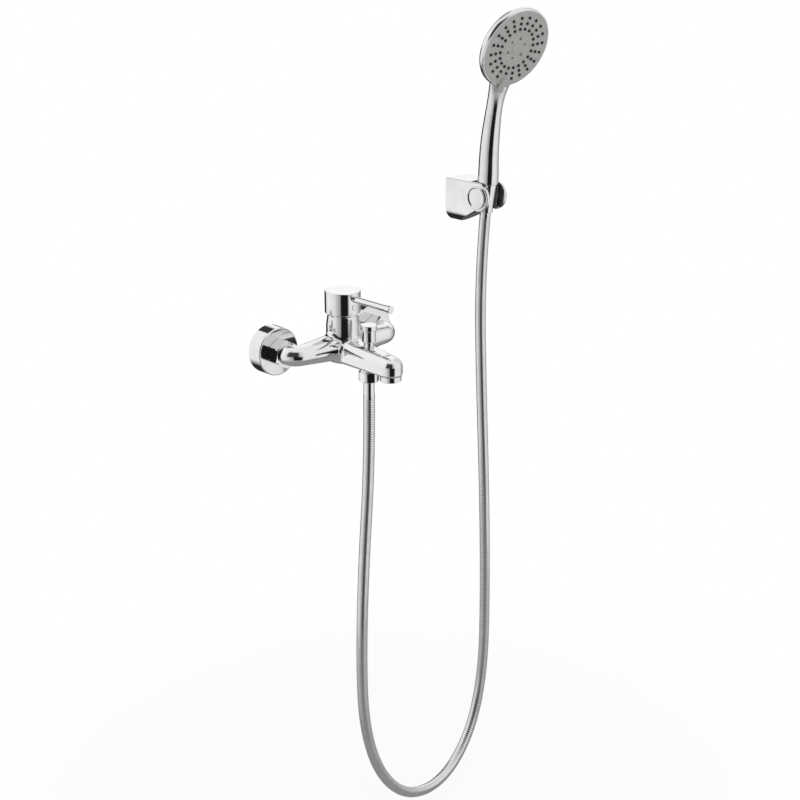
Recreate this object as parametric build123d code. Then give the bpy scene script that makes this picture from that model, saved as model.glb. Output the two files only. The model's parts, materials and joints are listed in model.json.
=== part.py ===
from build123d import *
import os
from math import cos, radians, sin, tan

# Wall mounted bath mixer with a hand shower, its hose and its wall holder, in millimetres.
# X runs along the wall, +Y goes into the wall and +Z is up. The wall's face is y = 0.
# The origin is midway between the two wall inlets, on the face of the wall.

# Threads and fits
half_inch_r = 20.955 / 2          # outer radius of a G 1/2 thread
three_quarter_r = 26.441 / 2      # outer radius of a G 3/4 thread
thread_gap = 0.05                 # radial room in a thread or a push fit
turn_gap = 0.08                   # radial room round what turns or slides
face_gap = 0.05                   # room between flat faces that rub
part_line = 0.3                   # visible joint between two pieces

# Wall unions, rosettes and union nuts
inlet_spacing = 150.0
inlet_rise = 6.0                  # the mixer's inlets stand this far above the wall inlets
tail_length = 16.0
tail_bore_r = 7.5
union_neck = 3.0
union_shift = 6.0                 # length of the slanted part of the union
union_length = 27.0               # from the wall to the sealing face
union_bore_r = 8.0
rosette_r = 29.0
rosette_depth = 20.5
rosette_wall = 1.2
rosette_edge = 1.5
nut_flats = 30.0
nut_length = 16.0
nut_lip = 5.0
washer_thickness = 2.0
nipple_r = 9.9
nipple_bore_r = 7.5
nipple_flange = 2.5
nipple_depth = 6.0                # how far the nipple screws into the body

# Mixer body, heights measured from its own level just above the inlet axis
wall_to_body = 50.0
body_rise = 1.5                   # the body's level stands this far above the inlet axis
body_level = inlet_rise + body_rise
body_foot = -21.8
body_foot_edge = 9.0              # rounding under the barrel
body_foot_r = 20.6
body_shoulder = 24.0
body_shoulder_r = 20.2
body_top = 36.0
body_top_r = 18.6
arm_root_r = 17.6
arm_end_r = 12.3
elbow_r = 12.4                    # bend of the arm's axis towards the wall
arm_blend = 7.0
spout_blend = 6.0
waterway_r = 6.5

# Spout
spout_reach = 84.0                # from the body axis to the aerator axis
spout_root_half = 18.0
spout_root_top = 11.5
spout_half = 14.0
spout_top = 2.0
spout_bottom = -20.3
spout_crown = 12.0                # rounding of the upper edges
spout_keel_root = 7.0             # rounding of the lower edges at the body
spout_keel = 3.0                  # and at the aerator
mixed_way_r = 4.5
mixed_way_z = -8.0
bath_way_width = 10.0
bath_way_height = 5.0

# Cartridge
chamber_r = 12.7
chamber_floor = 4.0
housing_r = 12.5
housing_wall = 1.0
port_r = 3.0
inlet_port = (6.5, 2.5)
outlet_port = (0.0, -6.5)
seal_width = 1.1
seal_height = 1.5
seal_proud = 0.3
base_height = 6.0
fixed_disc_r = 10.8
disc_height = 3.0
moving_disc_r = 8.4
carrier_plate = 3.0
socket_height = 7.0
socket_r = 4.6
ball_r = 2.4
ball_arm = 13.0                   # from the spindle's axle down to its ball
disc_rest = 2.5                   # the moving disc starts this far behind the axis
guide_r = 8.85
guide_flange_r = 11.2
guide_flange = 2.8
housing_shoulder = 3.0
housing_collar = 7.0              # height of the housing's neck above its shoulder
guide_slot = 14.0
spindle_width = 5.0
spindle_depth = 6.0
axle_r = 1.2
clamp_thread_r = 14.0
clamp_depth = 7.0
clamp_proud = 3.0
dome_r = 18.0
dome_height = 3.8

# Lever cap and lever, heights measured from the body's level
cap_r = 21.5
cap_wall = 1.4
cap_rim = 39.3
cap_top = 66.0
cap_roof = 3.0
cap_edge = 0.8
hub_r = 7.0
hub_foot = 45.2
axle_below_rim = 2.0
spindle_top = 56.0
lever_z = 58.7
lever_r = 4.0
lever_tip_r = 4.6
lever_reach = 85.0                # from the cap's axis to the end of the lever
lever_tip_length = 6.5
lever_spigot_r = 3.0
lever_boss_r = 5.0
lever_spigot = 10.0
tip_spigot_r = 2.5
tip_spigot = 4.0
index_z = 48.5
index_r = 3.75
grub_r = 2.0
grub_length = 4.0

# Bath and shower diverter
diverter_reach = 46.0             # from the body axis forward
diverter_chamber_r = 8.0
diverter_travel = 6.5
seat_z = -13.0
plug_r = 6.3
plug_height = 3.5
plug_gap = 0.2
upper_bore_r = 4.6
bonnet_thread_r = 4.9
bonnet_foot_r = 6.0
bonnet_room = 0.6                 # the spot face under the bonnet is this much wider
bonnet_sink = 0.25                # and this deep at its shallow side
bonnet_bottom = 3.0
bonnet_top = 17.0
diverter_rod_r = 2.0
knob_skirt_r = 8.5
knob_head_r = 10.0
knob_skirt_z = 12.2
knob_head_z = 26.2
knob_top_z = 33.0
knob_wall = 2.4

# Shower outlet and the hose's lower end
outlet_thread_r = 9.0
outlet_collar_r = 10.9
outlet_collar = 2.8
outlet_bore_r = 5.0
outlet_nose = 8.4
hose_nut_flats = 22.6
hose_nut_corner_r = 12.2
hose_nut_length = 12.6
hose_nut_lip = 1.5
hose_washer = 1.8
ferrule_flange = 1.5
ferrule_r = 6.6
ferrule_length = 17.5             # visible length below the nut

# Aerator
aerator_thread_r = 12.0
aerator_collar_r = 12.65
aerator_collar = 6.4
aerator_thread = 8.0
aerator_wall = 1.4
aerator_lip = 1.4
aerator_flats = 24.0
grid_rib = 0.8
grid_cells = 5
grid_height = 3.0

# Hose
hose_r = 7.0
hose_bore_r = 4.5
hose_groove = 0.8
hose_ribs = 120

# Wall holder
holder_x = 239.0                  # sideways from the mixer's middle
holder_z = 154.0                  # cradle axis above the wall inlets
holder_reach = 55.5               # cradle axis in front of the wall
holder_half = 18.5
cheek_r = 18.4
holder_drop = 37.5                # from the cradle axis down to the holder's lowest point
holder_foot = 15.0                # depth of the lowest part
fork_half = 14.2
fork_room = 0.8                   # between the fork's back and what swings past it
holder_wall = 2.8
cheek_edge = 2.0                  # rounding of the cheeks' outer edges
cover_r = 14.8
cover_height = 2.6
plate_thickness = 5.0
plate_hole_r = 2.25
plate_hole_spacing = 26.0
set_screw_r = 2.0
cradle_tilt = 5.0                 # the hand shower leans forward by this angle
cradle_r = 13.5
cradle_top = 13.0
cradle_foot = -15.0
cradle_slot = 16.0
pivot_r = 4.0
cone_gap = 0.15

# Cone nut and the hose's upper end, along the cradle's axis from the pivot
cone_top = 17.0
cone_length = 37.6
cone_top_r = 11.9
cone_foot_r = 8.9
cone_thread = 9.0
ferrule_proud = 2.0

# Hand shower
handset_turn = -5.0               # turned in the cradle by this angle at rest
handle_foot_r = 13.0
handle_waist_r = 10.3
handle_crown = 35.0               # the handle ends this far below the face centre's height
handle_bore_r = 8.0
neck_bore_r = 6.5
inlet_bore_r = 5.0
inlet_seat = 12.5
face_y = -30.6                    # face centre in front of the cradle axis
face_z = 190.4                    # face centre above the pivot
face_lean = 16.0                  # the face looks down by this angle from the handle
head_r = 51.0
head_depth = 24.0
head_wall = 2.5
rim_depth = 5.2
rim_land = 1.4                    # flat front of the chrome rim
rim_curve = 1.6
face_r = head_r - rim_curve - rim_land
face_thickness = 2.4
face_proud = 0.5
nozzle_rings = (0.53 * face_r, 0.68 * face_r, 0.83 * face_r)
nozzles_per_ring = 20
nozzle_r = 1.8
nozzle_height = 1.0
centre_r = 0.405 * face_r
centre_proud = 0.5
centre_boss_r = 0.145 * face_r
centre_boss = 0.4
centre_outlets = 6
centre_outlet_ring = 0.267 * face_r
centre_outlet_side = 5.2
selector_turn = -10.0             # how the spray face is turned at rest
tab_width = 6.6
tab_inner = face_r - 8.6
tab_outer = head_r + 6.0
tab_height = 4.6
neck_flat = 1.0                   # flat front of the neck, this far behind the rim's front
neck_edge = 2.0                   # the flat goes this far past the rim
neck_run_out = 12.0               # and rises out of the neck over this length
distributor_r = face_r - 5.0
distributor_height = 4.0
face_screw_r = 2.5

CENTRED = (Align.CENTER, Align.CENTER, Align.MIN)


def rod(r, length):
    """A cylinder that stands on its base."""
    return Cylinder(r, length, align=CENTRED)


def tube(outer, inner, length):
    return rod(outer, length) - rod(inner, length)


def from_wall(x, z):
    """Frame on the wall whose own Z axis points out into the room."""
    return Pos(x, 0, z) * Rot(90, 0, 0)


def on_body(z):
    """Frame on the body's upright axis at a height above the inlet axis."""
    return Pos(0, -wall_to_body, body_level + z)


def on_diverter(z):
    return Pos(0, -wall_to_body - diverter_reach, body_level + z)


def on_aerator(z):
    return Pos(0, -wall_to_body - spout_reach, body_level + z)


def hexagon_nut(flats, length, corner_r, edge):
    """A hexagon bar with its corners turned down and chamfered, one corner on +Y."""
    turned = chamfer(rod(corner_r, length).edges().filter_by(GeomType.CIRCLE), edge)
    bar = extrude(RegularPolygon(flats / 2, 6, major_radius=False, rotation=30), length)
    return bar & turned


# Wall unions, rosettes, nuts and nipples

def s_union():
    """Eccentric union: a tail in the wall, a slanted neck and a thread for the nut."""
    start = union_neck
    end = union_neck + union_shift
    tail = Pos(0, 0, -tail_length) * rod(half_inch_r, tail_length + start)
    neck = loft([
        Pos(0, 0, start) * Circle(half_inch_r),
        Pos(0, inlet_rise, end) * Circle(three_quarter_r),
    ])
    outlet = Pos(0, inlet_rise, end) * rod(three_quarter_r, union_length - end)
    tail_way = Pos(0, 0, -tail_length) * rod(tail_bore_r, tail_length + start)
    neck_way = loft([
        Pos(0, 0, start) * Circle(tail_bore_r),
        Pos(0, inlet_rise, end) * Circle(union_bore_r),
    ])
    outlet_way = Pos(0, inlet_rise, end) * rod(union_bore_r, union_length - end)
    return tail + neck + outlet - tail_way - neck_way - outlet_way


def escutcheon():
    """Round cup that covers the union, open to the wall."""
    cup = fillet(rod(rosette_r, rosette_depth).edges().sort_by(Axis.Z)[-1], rosette_edge)
    hollow = rod(rosette_r - rosette_wall, rosette_depth - rosette_wall)
    hole = rod(three_quarter_r + thread_gap, rosette_depth)
    return cup - hollow - hole


nut_start = rosette_depth + part_line
nut_end = nut_start + nut_length
flange_start = union_length + washer_thickness


def union_nut():
    corner_r = nut_flats / 2 / cos(radians(30)) - 0.4
    nut = hexagon_nut(nut_flats, nut_length, corner_r, 0.9)
    nut -= rod(three_quarter_r + thread_gap, nut_length - nut_lip)
    return Pos(0, 0, nut_start) * (nut - rod(nipple_r + 2 * turn_gap, nut_length))


def inlet_nipple():
    """Flanged tail of the body that the union nut pulls against the washer."""
    flange = Pos(0, 0, flange_start) * rod(three_quarter_r - 0.6, nipple_flange)
    stem = Pos(0, 0, flange_start) * rod(nipple_r, nut_end + part_line + nipple_depth - flange_start)
    bore = Pos(0, 0, flange_start) * rod(nipple_bore_r, 2 * nut_length + nipple_depth)
    return flange + stem - bore


def inlet_washer():
    return Pos(0, 0, union_length) * tube(three_quarter_r - 0.7, union_bore_r, washer_thickness)


# Mixer body

def spout_section(y, half, top, bottom, crown, keel):
    """Cross section of the spout, flat below and rounded above."""
    outline = make_face(Polyline((-half, bottom), (half, bottom), (half, top), (-half, top), close=True))
    outline = fillet(outline.vertices().sort_by(Axis.Y)[:2], keel)
    outline = fillet(outline.vertices().sort_by(Axis.Y)[-2:], crown)
    return Plane(origin=(0, y, body_level), x_dir=(1, 0, 0), z_dir=(0, -1, 0)) * outline


def spout_nose():
    """Rounded end of the spout, half a turn of its last section about the aerator axis."""
    y = -wall_to_body - spout_reach
    section = spout_section(y, spout_half, spout_top, spout_bottom, spout_crown, spout_keel)
    right = section & Pos(spout_half, y, body_level) * Box(2 * spout_half, 1, 100)
    return revolve(right, Axis((0, y, 0), (0, 0, -1)), 180)


def arm(side):
    """Tapered arm that bends back to the wall in a round elbow."""
    along = Plane(origin=(0, -wall_to_body, inlet_rise), x_dir=(0, 1, 0), z_dir=(side, 0, 0))
    half = inlet_spacing / 2
    bend = along.offset(half - elbow_r) * Circle(arm_end_r)
    cone = loft([along.offset(2) * Circle(arm_root_r), bend])
    centre = (side * (half - elbow_r), elbow_r - wall_to_body, inlet_rise)
    elbow = revolve(bend, Axis(centre, (0, 0, side)), 90)
    collar_length = wall_to_body - elbow_r - nut_end - part_line
    collar = Pos(0, 0, nut_end + part_line) * rod(arm_end_r, collar_length)
    return cone + elbow + from_wall(side * half, inlet_rise) * collar


def mixer_shell():
    """Outside of the casting, with the arms and the spout blended into the barrel."""
    outline = make_face(Polyline(
        (0, body_foot), (body_foot_r, body_foot), (body_shoulder_r, body_shoulder),
        (body_top_r, body_top), (0, body_top), close=True))
    upright = Plane(origin=(0, -wall_to_body, body_level), x_dir=(0, 1, 0), z_dir=(1, 0, 0))
    barrel = revolve(upright * outline, Axis((0, -wall_to_body, 0), (0, 0, 1)))
    barrel = fillet(barrel.edges().sort_by(Axis.Z)[0], body_foot_edge)
    arms = arm(-1) + arm(1)
    core = barrel + arms
    core = fillet(new_edges(barrel, arms, combined=core), arm_blend)
    spout = loft([
        spout_section(5 - wall_to_body, spout_root_half, spout_root_top, spout_bottom,
                      spout_crown, spout_keel_root),
        spout_section(-wall_to_body - spout_reach, spout_half, spout_top, spout_bottom,
                      spout_crown, spout_keel),
    ]) + spout_nose()
    shell = core + spout
    return fillet(new_edges(core, spout, combined=shell), spout_blend)


def spout_crest(reach):
    """Height of the spout's flat top at a distance in front of the body axis."""
    return spout_root_top + (spout_top - spout_root_top) * (reach + 5) / (spout_reach + 5)


bonnet_seat = spout_crest(diverter_reach + bonnet_foot_r + bonnet_room) - bonnet_sink


def mixer_body():
    body = mixer_shell()
    # cartridge chamber and its thread
    body -= on_body(chamber_floor) * rod(chamber_r, body_top)
    body -= on_body(body_top - clamp_depth) * rod(clamp_thread_r, body_top)
    # hot and cold ways, from the nipples through the arms up to the cartridge
    half = inlet_spacing / 2
    for side in (-1, 1):
        socket = Pos(0, 0, nut_end) * rod(nipple_r + thread_gap, part_line + nipple_depth)
        body -= from_wall(side * half, inlet_rise) * socket
        turn = Pos(0, 0, nut_end) * rod(waterway_r, wall_to_body - nut_end)
        body -= from_wall(side * half, inlet_rise) * turn
        inner = inlet_port[0] - port_r + 1.0
        way = Plane(origin=(side * inner, -wall_to_body, inlet_rise), z_dir=(side, 0, 0))
        body -= way * rod(waterway_r, half - inner)
        riser = Pos(side * inlet_port[0], inlet_port[1], 0) * rod(port_r, chamber_floor + 1)
        body -= on_body(0) * riser
    # mixed water: down from the cartridge and forward to the diverter
    drop = chamber_floor - mixed_way_z
    body -= on_body(mixed_way_z) * Pos(*outlet_port) * rod(port_r, drop + 1)
    forward = diverter_reach + outlet_port[1]
    start = wall_to_body - outlet_port[1]
    body -= from_wall(0, body_level + mixed_way_z) * Pos(0, 0, start) * rod(mixed_way_r, forward)
    # diverter chamber, its upper seat and the bonnet's thread
    shoulder = seat_z + plug_gap + plug_height + diverter_travel + plug_gap
    body -= on_diverter(spout_bottom - 1) * rod(outlet_thread_r + thread_gap, seat_z - spout_bottom + 1)
    body -= on_diverter(seat_z) * rod(diverter_chamber_r, shoulder - seat_z)
    body -= on_diverter(shoulder) * rod(upper_bore_r, bonnet_bottom - shoulder)
    body -= on_diverter(bonnet_bottom) * rod(bonnet_thread_r + thread_gap, body_top)
    body -= on_diverter(bonnet_seat) * rod(bonnet_foot_r + bonnet_room, body_top)
    # way to the bath spout and the aerator's chamber
    way_z = shoulder + bath_way_height / 2 + 0.2
    way = extrude(RectangleRounded(bath_way_width, bath_way_height, 1.8), spout_reach - diverter_reach - 4)
    body -= from_wall(0, body_level + way_z) * Pos(0, 0, wall_to_body + diverter_reach) * way
    body -= on_aerator(way_z - 6) * Pos(0, 5, 0) * rod(3.5, 6)
    body -= on_aerator(spout_bottom) * rod(aerator_thread_r - 2.5, aerator_thread + washer_thickness + 7)
    body -= on_aerator(spout_bottom) * rod(aerator_thread_r + thread_gap, aerator_thread + washer_thickness)
    return body


# Cartridge

base_z = chamber_floor + seal_proud
fixed_z = base_z + base_height
moving_z = fixed_z + disc_height + face_gap
carrier_z = moving_z + disc_height
pivot_z = cap_rim - axle_below_rim
ball_z = pivot_z - ball_arm
shoulder_z = body_top - clamp_depth + 4.0
roof_z = shoulder_z - housing_shoulder
guide_top = roof_z + housing_shoulder + housing_collar + 0.5
cartridge_ports = (inlet_port, (-inlet_port[0], inlet_port[1]), outlet_port)


def cartridge_base():
    base = rod(housing_r, base_height)
    for x, y in cartridge_ports:
        base -= Pos(x, y, 0) * rod(port_r, base_height)
        base -= Pos(x, y, 0) * rod(port_r + seal_width + thread_gap, seal_height - seal_proud)
    return on_body(base_z) * base


def cartridge_seals():
    rings = [Pos(x, y, 0) * tube(port_r + seal_width, port_r, seal_height) for x, y in cartridge_ports]
    return on_body(chamber_floor) * Compound(children=rings)


def fixed_disc():
    disc = rod(fixed_disc_r, disc_height)
    for x, y in cartridge_ports:
        disc -= Pos(x, y, 0) * rod(port_r - 0.6, disc_height)
    return on_body(fixed_z) * disc


def moving_disc():
    """Ceramic disc with the mixing pocket on its underside."""
    pocket = extrude(SlotOverall(11.0, 6.0), disc_height / 2)
    disc = rod(moving_disc_r, disc_height) - Pos(0, -1.5, 0) * pocket
    return on_body(moving_z) * Pos(0, disc_rest, 0) * disc


def disc_carrier():
    """Plastic driver that carries the disc and takes the spindle's ball in its socket."""
    plate = Pos(0, disc_rest, 0) * rod(moving_disc_r, carrier_plate)
    post = rod(socket_r, carrier_plate + socket_height)
    hole_z = ball_z - carrier_z - ball_r - 0.3
    hole = Pos(0, 0, hole_z) * rod(ball_r + 2 * turn_gap, 3 * ball_r)
    mouth_z = carrier_plate + socket_height - 1.2
    mouth = Pos(0, 0, mouth_z) * Cone(ball_r + 2 * turn_gap, ball_r + 1.4, 1.2, align=CENTRED)
    return on_body(carrier_z) * (plate + post - hole - mouth)


def cartridge_housing():
    outer = Pos(0, 0, fixed_z) * rod(housing_r, shoulder_z - fixed_z)
    neck = Pos(0, 0, shoulder_z) * rod(guide_r + 1.6, housing_collar)
    inner = Pos(0, 0, fixed_z) * rod(housing_r - housing_wall, roof_z - fixed_z)
    bore = Pos(0, 0, roof_z) * rod(guide_r + turn_gap, housing_shoulder + housing_collar)
    return on_body(0) * (outer + neck - inner - bore)


def stem_guide():
    """Turret that turns in the housing's neck and carries the spindle's axle."""
    foot_z = roof_z - face_gap - guide_flange
    flange = Pos(0, 0, foot_z) * rod(guide_flange_r, guide_flange)
    neck = Pos(0, 0, foot_z) * rod(guide_r, guide_top - foot_z)
    slot = Pos(0, 0, foot_z) * Box(spindle_width + 2 * turn_gap, guide_slot, guide_top, align=CENTRED)
    hole = Pos(0, 0, pivot_z) * Rot(0, 90, 0) * Cylinder(axle_r + thread_gap, 2 * guide_r)
    return on_body(0) * (flange + neck - slot - hole)


def spindle_axle():
    return on_body(pivot_z) * Rot(0, 90, 0) * Cylinder(axle_r, 2 * guide_r - 0.4)


def lever_spindle():
    """Steel lever of the cartridge: a square top, an eye for the axle and a ball below."""
    waist_z = pivot_z - 8.3
    blade = Pos(0, 0, waist_z) * Box(spindle_width, spindle_depth, spindle_top - waist_z, align=CENTRED)
    stem = Pos(0, 0, ball_z) * rod(1.8, waist_z - ball_z)
    eye = Pos(0, 0, pivot_z) * Rot(0, 90, 0) * Cylinder(axle_r + turn_gap, 2 * spindle_width)
    return on_body(0) * (blade + stem + Pos(0, 0, ball_z) * Sphere(ball_r) - eye)


def cartridge_nut():
    """Threaded ring that clamps the housing, with two spanner slots in its top."""
    nut_z = body_top - clamp_depth
    ring = Pos(0, 0, nut_z) * rod(clamp_thread_r - thread_gap, clamp_depth)
    ring += Pos(0, 0, body_top) * rod(clamp_thread_r - 0.9, clamp_proud)
    ring -= Pos(0, 0, nut_z) * rod(housing_r + thread_gap, shoulder_z - nut_z)
    ring -= Pos(0, 0, nut_z) * rod(guide_r + 1.6 + 2 * turn_gap, clamp_depth + clamp_proud)
    ring -= Pos(0, 0, body_top + clamp_proud) * Box(2.4, 3 * clamp_thread_r, 3.0)
    return on_body(0) * ring


def dome_ring():
    """Chrome ring that hides the clamp nut in the gap under the lever cap."""
    inner = clamp_thread_r - 0.9 + part_line
    outline = make_face(
        Polyline((inner, dome_height), (inner, 0), (dome_r, 0), (dome_r, dome_height - 2.0))
        + ThreePointArc((dome_r, dome_height - 2.0), (dome_r - 0.7, dome_height - 0.6),
                        (dome_r - 2.2, dome_height))
        + Line((dome_r - 2.2, dome_height), (inner, dome_height)))
    return on_body(body_top) * revolve(Plane.XZ * outline, Axis.Z)


# Lever cap and lever, which lift and turn together

def facing_room(z):
    """Frame on the body axis at a height, its own Z axis pointing away from the wall."""
    return on_body(z) * Rot(90, 0, 0)


def lever_cap():
    cap = rod(cap_r, cap_top - cap_rim)
    cap = fillet(cap.edges().sort_by(Axis.Z)[-1], cap_edge)
    cap = chamfer(cap.edges().sort_by(Axis.Z)[0], cap_edge / 2)
    cap = Pos(0, 0, cap_rim) * cap
    inside = Pos(0, 0, cap_rim) * rod(cap_r - cap_wall, cap_top - cap_rim - cap_roof)
    hub = Pos(0, 0, hub_foot) * rod(hub_r, cap_top - cap_roof - hub_foot)
    boss = Pos(0, 0, lever_z) * Rot(90, 0, 0) * rod(lever_boss_r, cap_r - cap_wall / 2)
    cap = on_body(0) * (cap - inside + hub + boss)
    square = Box(spindle_width + 2 * thread_gap, spindle_depth + 2 * thread_gap,
                 spindle_top + 0.3 - hub_foot, align=CENTRED)
    cap -= on_body(hub_foot) * square
    cap -= facing_room(lever_z) * Pos(0, 0, cap_r - lever_spigot) * rod(lever_spigot_r + thread_gap, cap_r)
    cap -= facing_room(index_z) * rod(grub_r + thread_gap, cap_r)
    cap -= facing_room(index_z) * Pos(0, 0, hub_r) * rod(index_r + thread_gap, cap_r)
    return cap


def lever_pin():
    """Round lever rod, hollowed at its root to the curve of the cap, with a spigot at each end."""
    shaft_end = lever_reach - lever_tip_length
    shaft = facing_room(lever_z) * Pos(0, 0, cap_r - 2) * rod(lever_r, shaft_end - cap_r + 2)
    shaft -= on_body(cap_rim) * rod(cap_r, cap_top - cap_rim)
    root = facing_room(lever_z) * Pos(0, 0, cap_r - lever_spigot + 0.5) * rod(lever_spigot_r, lever_spigot)
    end = facing_room(lever_z) * Pos(0, 0, shaft_end - 1) * rod(tip_spigot_r, tip_spigot)
    return shaft + root + end


def lever_pin_tip():
    tip = chamfer(rod(lever_tip_r, lever_tip_length).edges().filter_by(GeomType.CIRCLE), 0.5)
    tip -= rod(tip_spigot_r + thread_gap, tip_spigot - 0.5)
    return facing_room(lever_z) * Pos(0, 0, lever_reach - lever_tip_length) * tip


def lever_grub_screw():
    """Socket screw that holds the cap on the spindle, reached behind the index plug."""
    screw = rod(grub_r, grub_length) - Pos(0, 0, grub_length - 1.6) * extrude(RegularPolygon(1.0, 6), 1.6)
    return facing_room(index_z) * Pos(0, 0, spindle_depth / 2) * screw


def index_plug():
    """Round plug in the front of the cap."""
    depth = 3.0
    plug = rod(index_r, depth + 0.4)
    plug = fillet(plug.edges().sort_by(Axis.Z)[-1], 0.5)
    return facing_room(index_z) * Pos(0, 0, cap_r - depth) * plug


# Diverter

def diverter_bonnet():
    """Threaded gland in the top of the spout that guides the rod."""
    thread = Pos(0, 0, bonnet_bottom) * rod(bonnet_thread_r, bonnet_seat - bonnet_bottom + 1)
    foot = Pos(0, 0, bonnet_seat) * rod(bonnet_foot_r, bonnet_top - bonnet_seat)
    foot = fillet(foot.edges().sort_by(Axis.Z)[0], 0.6)
    bore = Pos(0, 0, bonnet_bottom) * rod(diverter_rod_r + turn_gap, body_top)
    return on_diverter(0) * (thread + foot - bore)


def diverter_rod():
    start = seat_z + plug_gap + 1.0
    return on_diverter(start) * rod(diverter_rod_r, knob_head_z - start)


def diverter_plug():
    """Rubber plug that shuts the shower way at rest and the bath way when it is pulled up."""
    plug = chamfer(rod(plug_r, plug_height).edges().filter_by(GeomType.CIRCLE), 0.5)
    plug -= Pos(0, 0, 1.0) * rod(diverter_rod_r, plug_height)
    return on_diverter(seat_z + plug_gap) * plug


def diverter_knob():
    """Pull knob: a hollow skirt over the bonnet under a wider flat head."""
    skirt = fillet(rod(knob_skirt_r, knob_head_z - knob_skirt_z).edges().sort_by(Axis.Z)[0], 1.2)
    head = rod(knob_head_r, knob_top_z - knob_head_z)
    head = fillet(head.edges().filter_by(GeomType.CIRCLE), 1.0)
    hollow = rod(knob_skirt_r - knob_wall, bonnet_top + 1.0 - knob_skirt_z)
    bore = rod(diverter_rod_r, knob_head_z - knob_skirt_z)
    knob = skirt + Pos(0, 0, knob_head_z - knob_skirt_z) * head
    return on_diverter(knob_skirt_z) * (knob - hollow - bore)


def shower_outlet():
    """Nipple under the spout: the diverter's lower seat above, the hose thread below."""
    top = Pos(0, 0, spout_bottom) * rod(outlet_thread_r, seat_z - spout_bottom)
    collar = Pos(0, 0, spout_bottom - outlet_collar) * rod(outlet_collar_r, outlet_collar)
    nose_z = spout_bottom - outlet_collar - outlet_nose
    nose = Pos(0, 0, nose_z) * rod(half_inch_r, outlet_nose)
    bore = Pos(0, 0, nose_z) * rod(outlet_bore_r, seat_z - nose_z)
    return on_diverter(0) * (top + collar + nose - bore)


# Hose ends at the mixer

hose_nut_top = spout_bottom - outlet_collar - part_line
hose_nut_foot = hose_nut_top - hose_nut_length
lower_flange_z = hose_nut_foot + hose_nut_lip
lower_end_z = hose_nut_foot - ferrule_length


def hose_nut():
    nut = hexagon_nut(hose_nut_flats, hose_nut_length, hose_nut_corner_r, 1.2)
    nut -= Pos(0, 0, hose_nut_lip) * rod(half_inch_r + thread_gap, hose_nut_length)
    return on_diverter(hose_nut_foot) * (nut - rod(ferrule_r + turn_gap, hose_nut_length))


def hose_lower_ferrule():
    barrel = Pos(0, 0, lower_end_z) * rod(ferrule_r, lower_flange_z - lower_end_z)
    flange = Pos(0, 0, lower_flange_z) * rod(half_inch_r - 0.3, ferrule_flange)
    bore = Pos(0, 0, lower_end_z) * rod(hose_bore_r, lower_flange_z + ferrule_flange - lower_end_z)
    return on_diverter(0) * (barrel + flange - bore)


def hose_lower_washer():
    z = lower_flange_z + ferrule_flange
    height = spout_bottom - outlet_collar - outlet_nose - z
    return on_diverter(z) * tube(half_inch_r - 0.4, outlet_bore_r, height)


# Aerator

def aerator_housing():
    thread = Pos(0, 0, spout_bottom) * rod(aerator_thread_r, aerator_thread)
    collar = Pos(0, 0, spout_bottom - aerator_collar) * rod(aerator_collar_r, aerator_collar)
    collar = chamfer(collar.edges().sort_by(Axis.Z)[0], 0.5)
    flats = Pos(0, 0, spout_bottom - aerator_collar) * Box(
        3 * aerator_collar_r, aerator_flats, aerator_collar - 1.5, align=CENTRED)
    lower = Pos(0, 0, spout_bottom - aerator_collar) * rod(aerator_collar_r, aerator_collar - 1.5)
    collar = collar - (lower - flats)
    z = spout_bottom - aerator_collar
    bore = Pos(0, 0, z + aerator_lip) * rod(aerator_thread_r - aerator_wall, aerator_thread + aerator_collar)
    mouth = Pos(0, 0, z) * rod(aerator_thread_r - aerator_wall - 1.0, aerator_lip)
    return on_aerator(0) * (thread + collar - bore - mouth)


def aerator_insert():
    """Plastic jet insert: a cup with a square grid across its mouth."""
    outer = aerator_thread_r - aerator_wall - thread_gap
    height = aerator_thread + aerator_collar - aerator_lip
    inner = outer - 1.3
    cup = tube(outer, inner, height)
    pitch = 2 * inner / grid_cells
    for i in range(1, grid_cells):
        at = i * pitch - inner
        cup += Pos(at, 0, 0) * Box(grid_rib, 2 * inner + 1, grid_height, align=CENTRED)
        cup += Pos(0, at, 0) * Box(2 * inner + 1, grid_rib, grid_height, align=CENTRED)
    cup &= rod(outer, height)
    return on_aerator(spout_bottom - aerator_collar + aerator_lip) * cup


def aerator_washer():
    ring = tube(aerator_thread_r - thread_gap, aerator_thread_r - 2.6, washer_thickness)
    return on_aerator(spout_bottom + aerator_thread) * ring


# Wall holder

pivot_y = -holder_reach
cone_foot = cone_top - cone_length
fork_back_r = ((ferrule_proud - cone_foot) ** 2 + ferrule_r ** 2) ** 0.5 + fork_room
holder_top = holder_z + cheek_r
holder_low = holder_z - holder_drop


def holder_front(half, top, low):
    """Holder seen from the front: flat top, straight sides, round bottom."""
    centre_z = low + half
    sides = Polyline((-half, centre_z), (-half, top), (half, top), (half, centre_z))
    return make_face(sides + ThreePointArc((half, centre_z), (0, low), (-half, centre_z)))


def holder_side():
    """Holder seen from the side: deep at the wall, running into the round cheeks."""
    low_y = -pivot_y - 5.0
    cheek_low = holder_z - (cheek_r ** 2 - 5.0 ** 2) ** 0.5
    lines = Polyline((low_y, cheek_low), (holder_foot, holder_low), (0, holder_low), (0, holder_top),
                     (holder_reach, holder_top))
    nose = ThreePointArc((holder_reach, holder_top),
                         (holder_reach + cheek_r * cos(radians(20)), holder_z - cheek_r * sin(radians(20))),
                         (low_y, cheek_low))
    return make_face(lines + nose)


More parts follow.
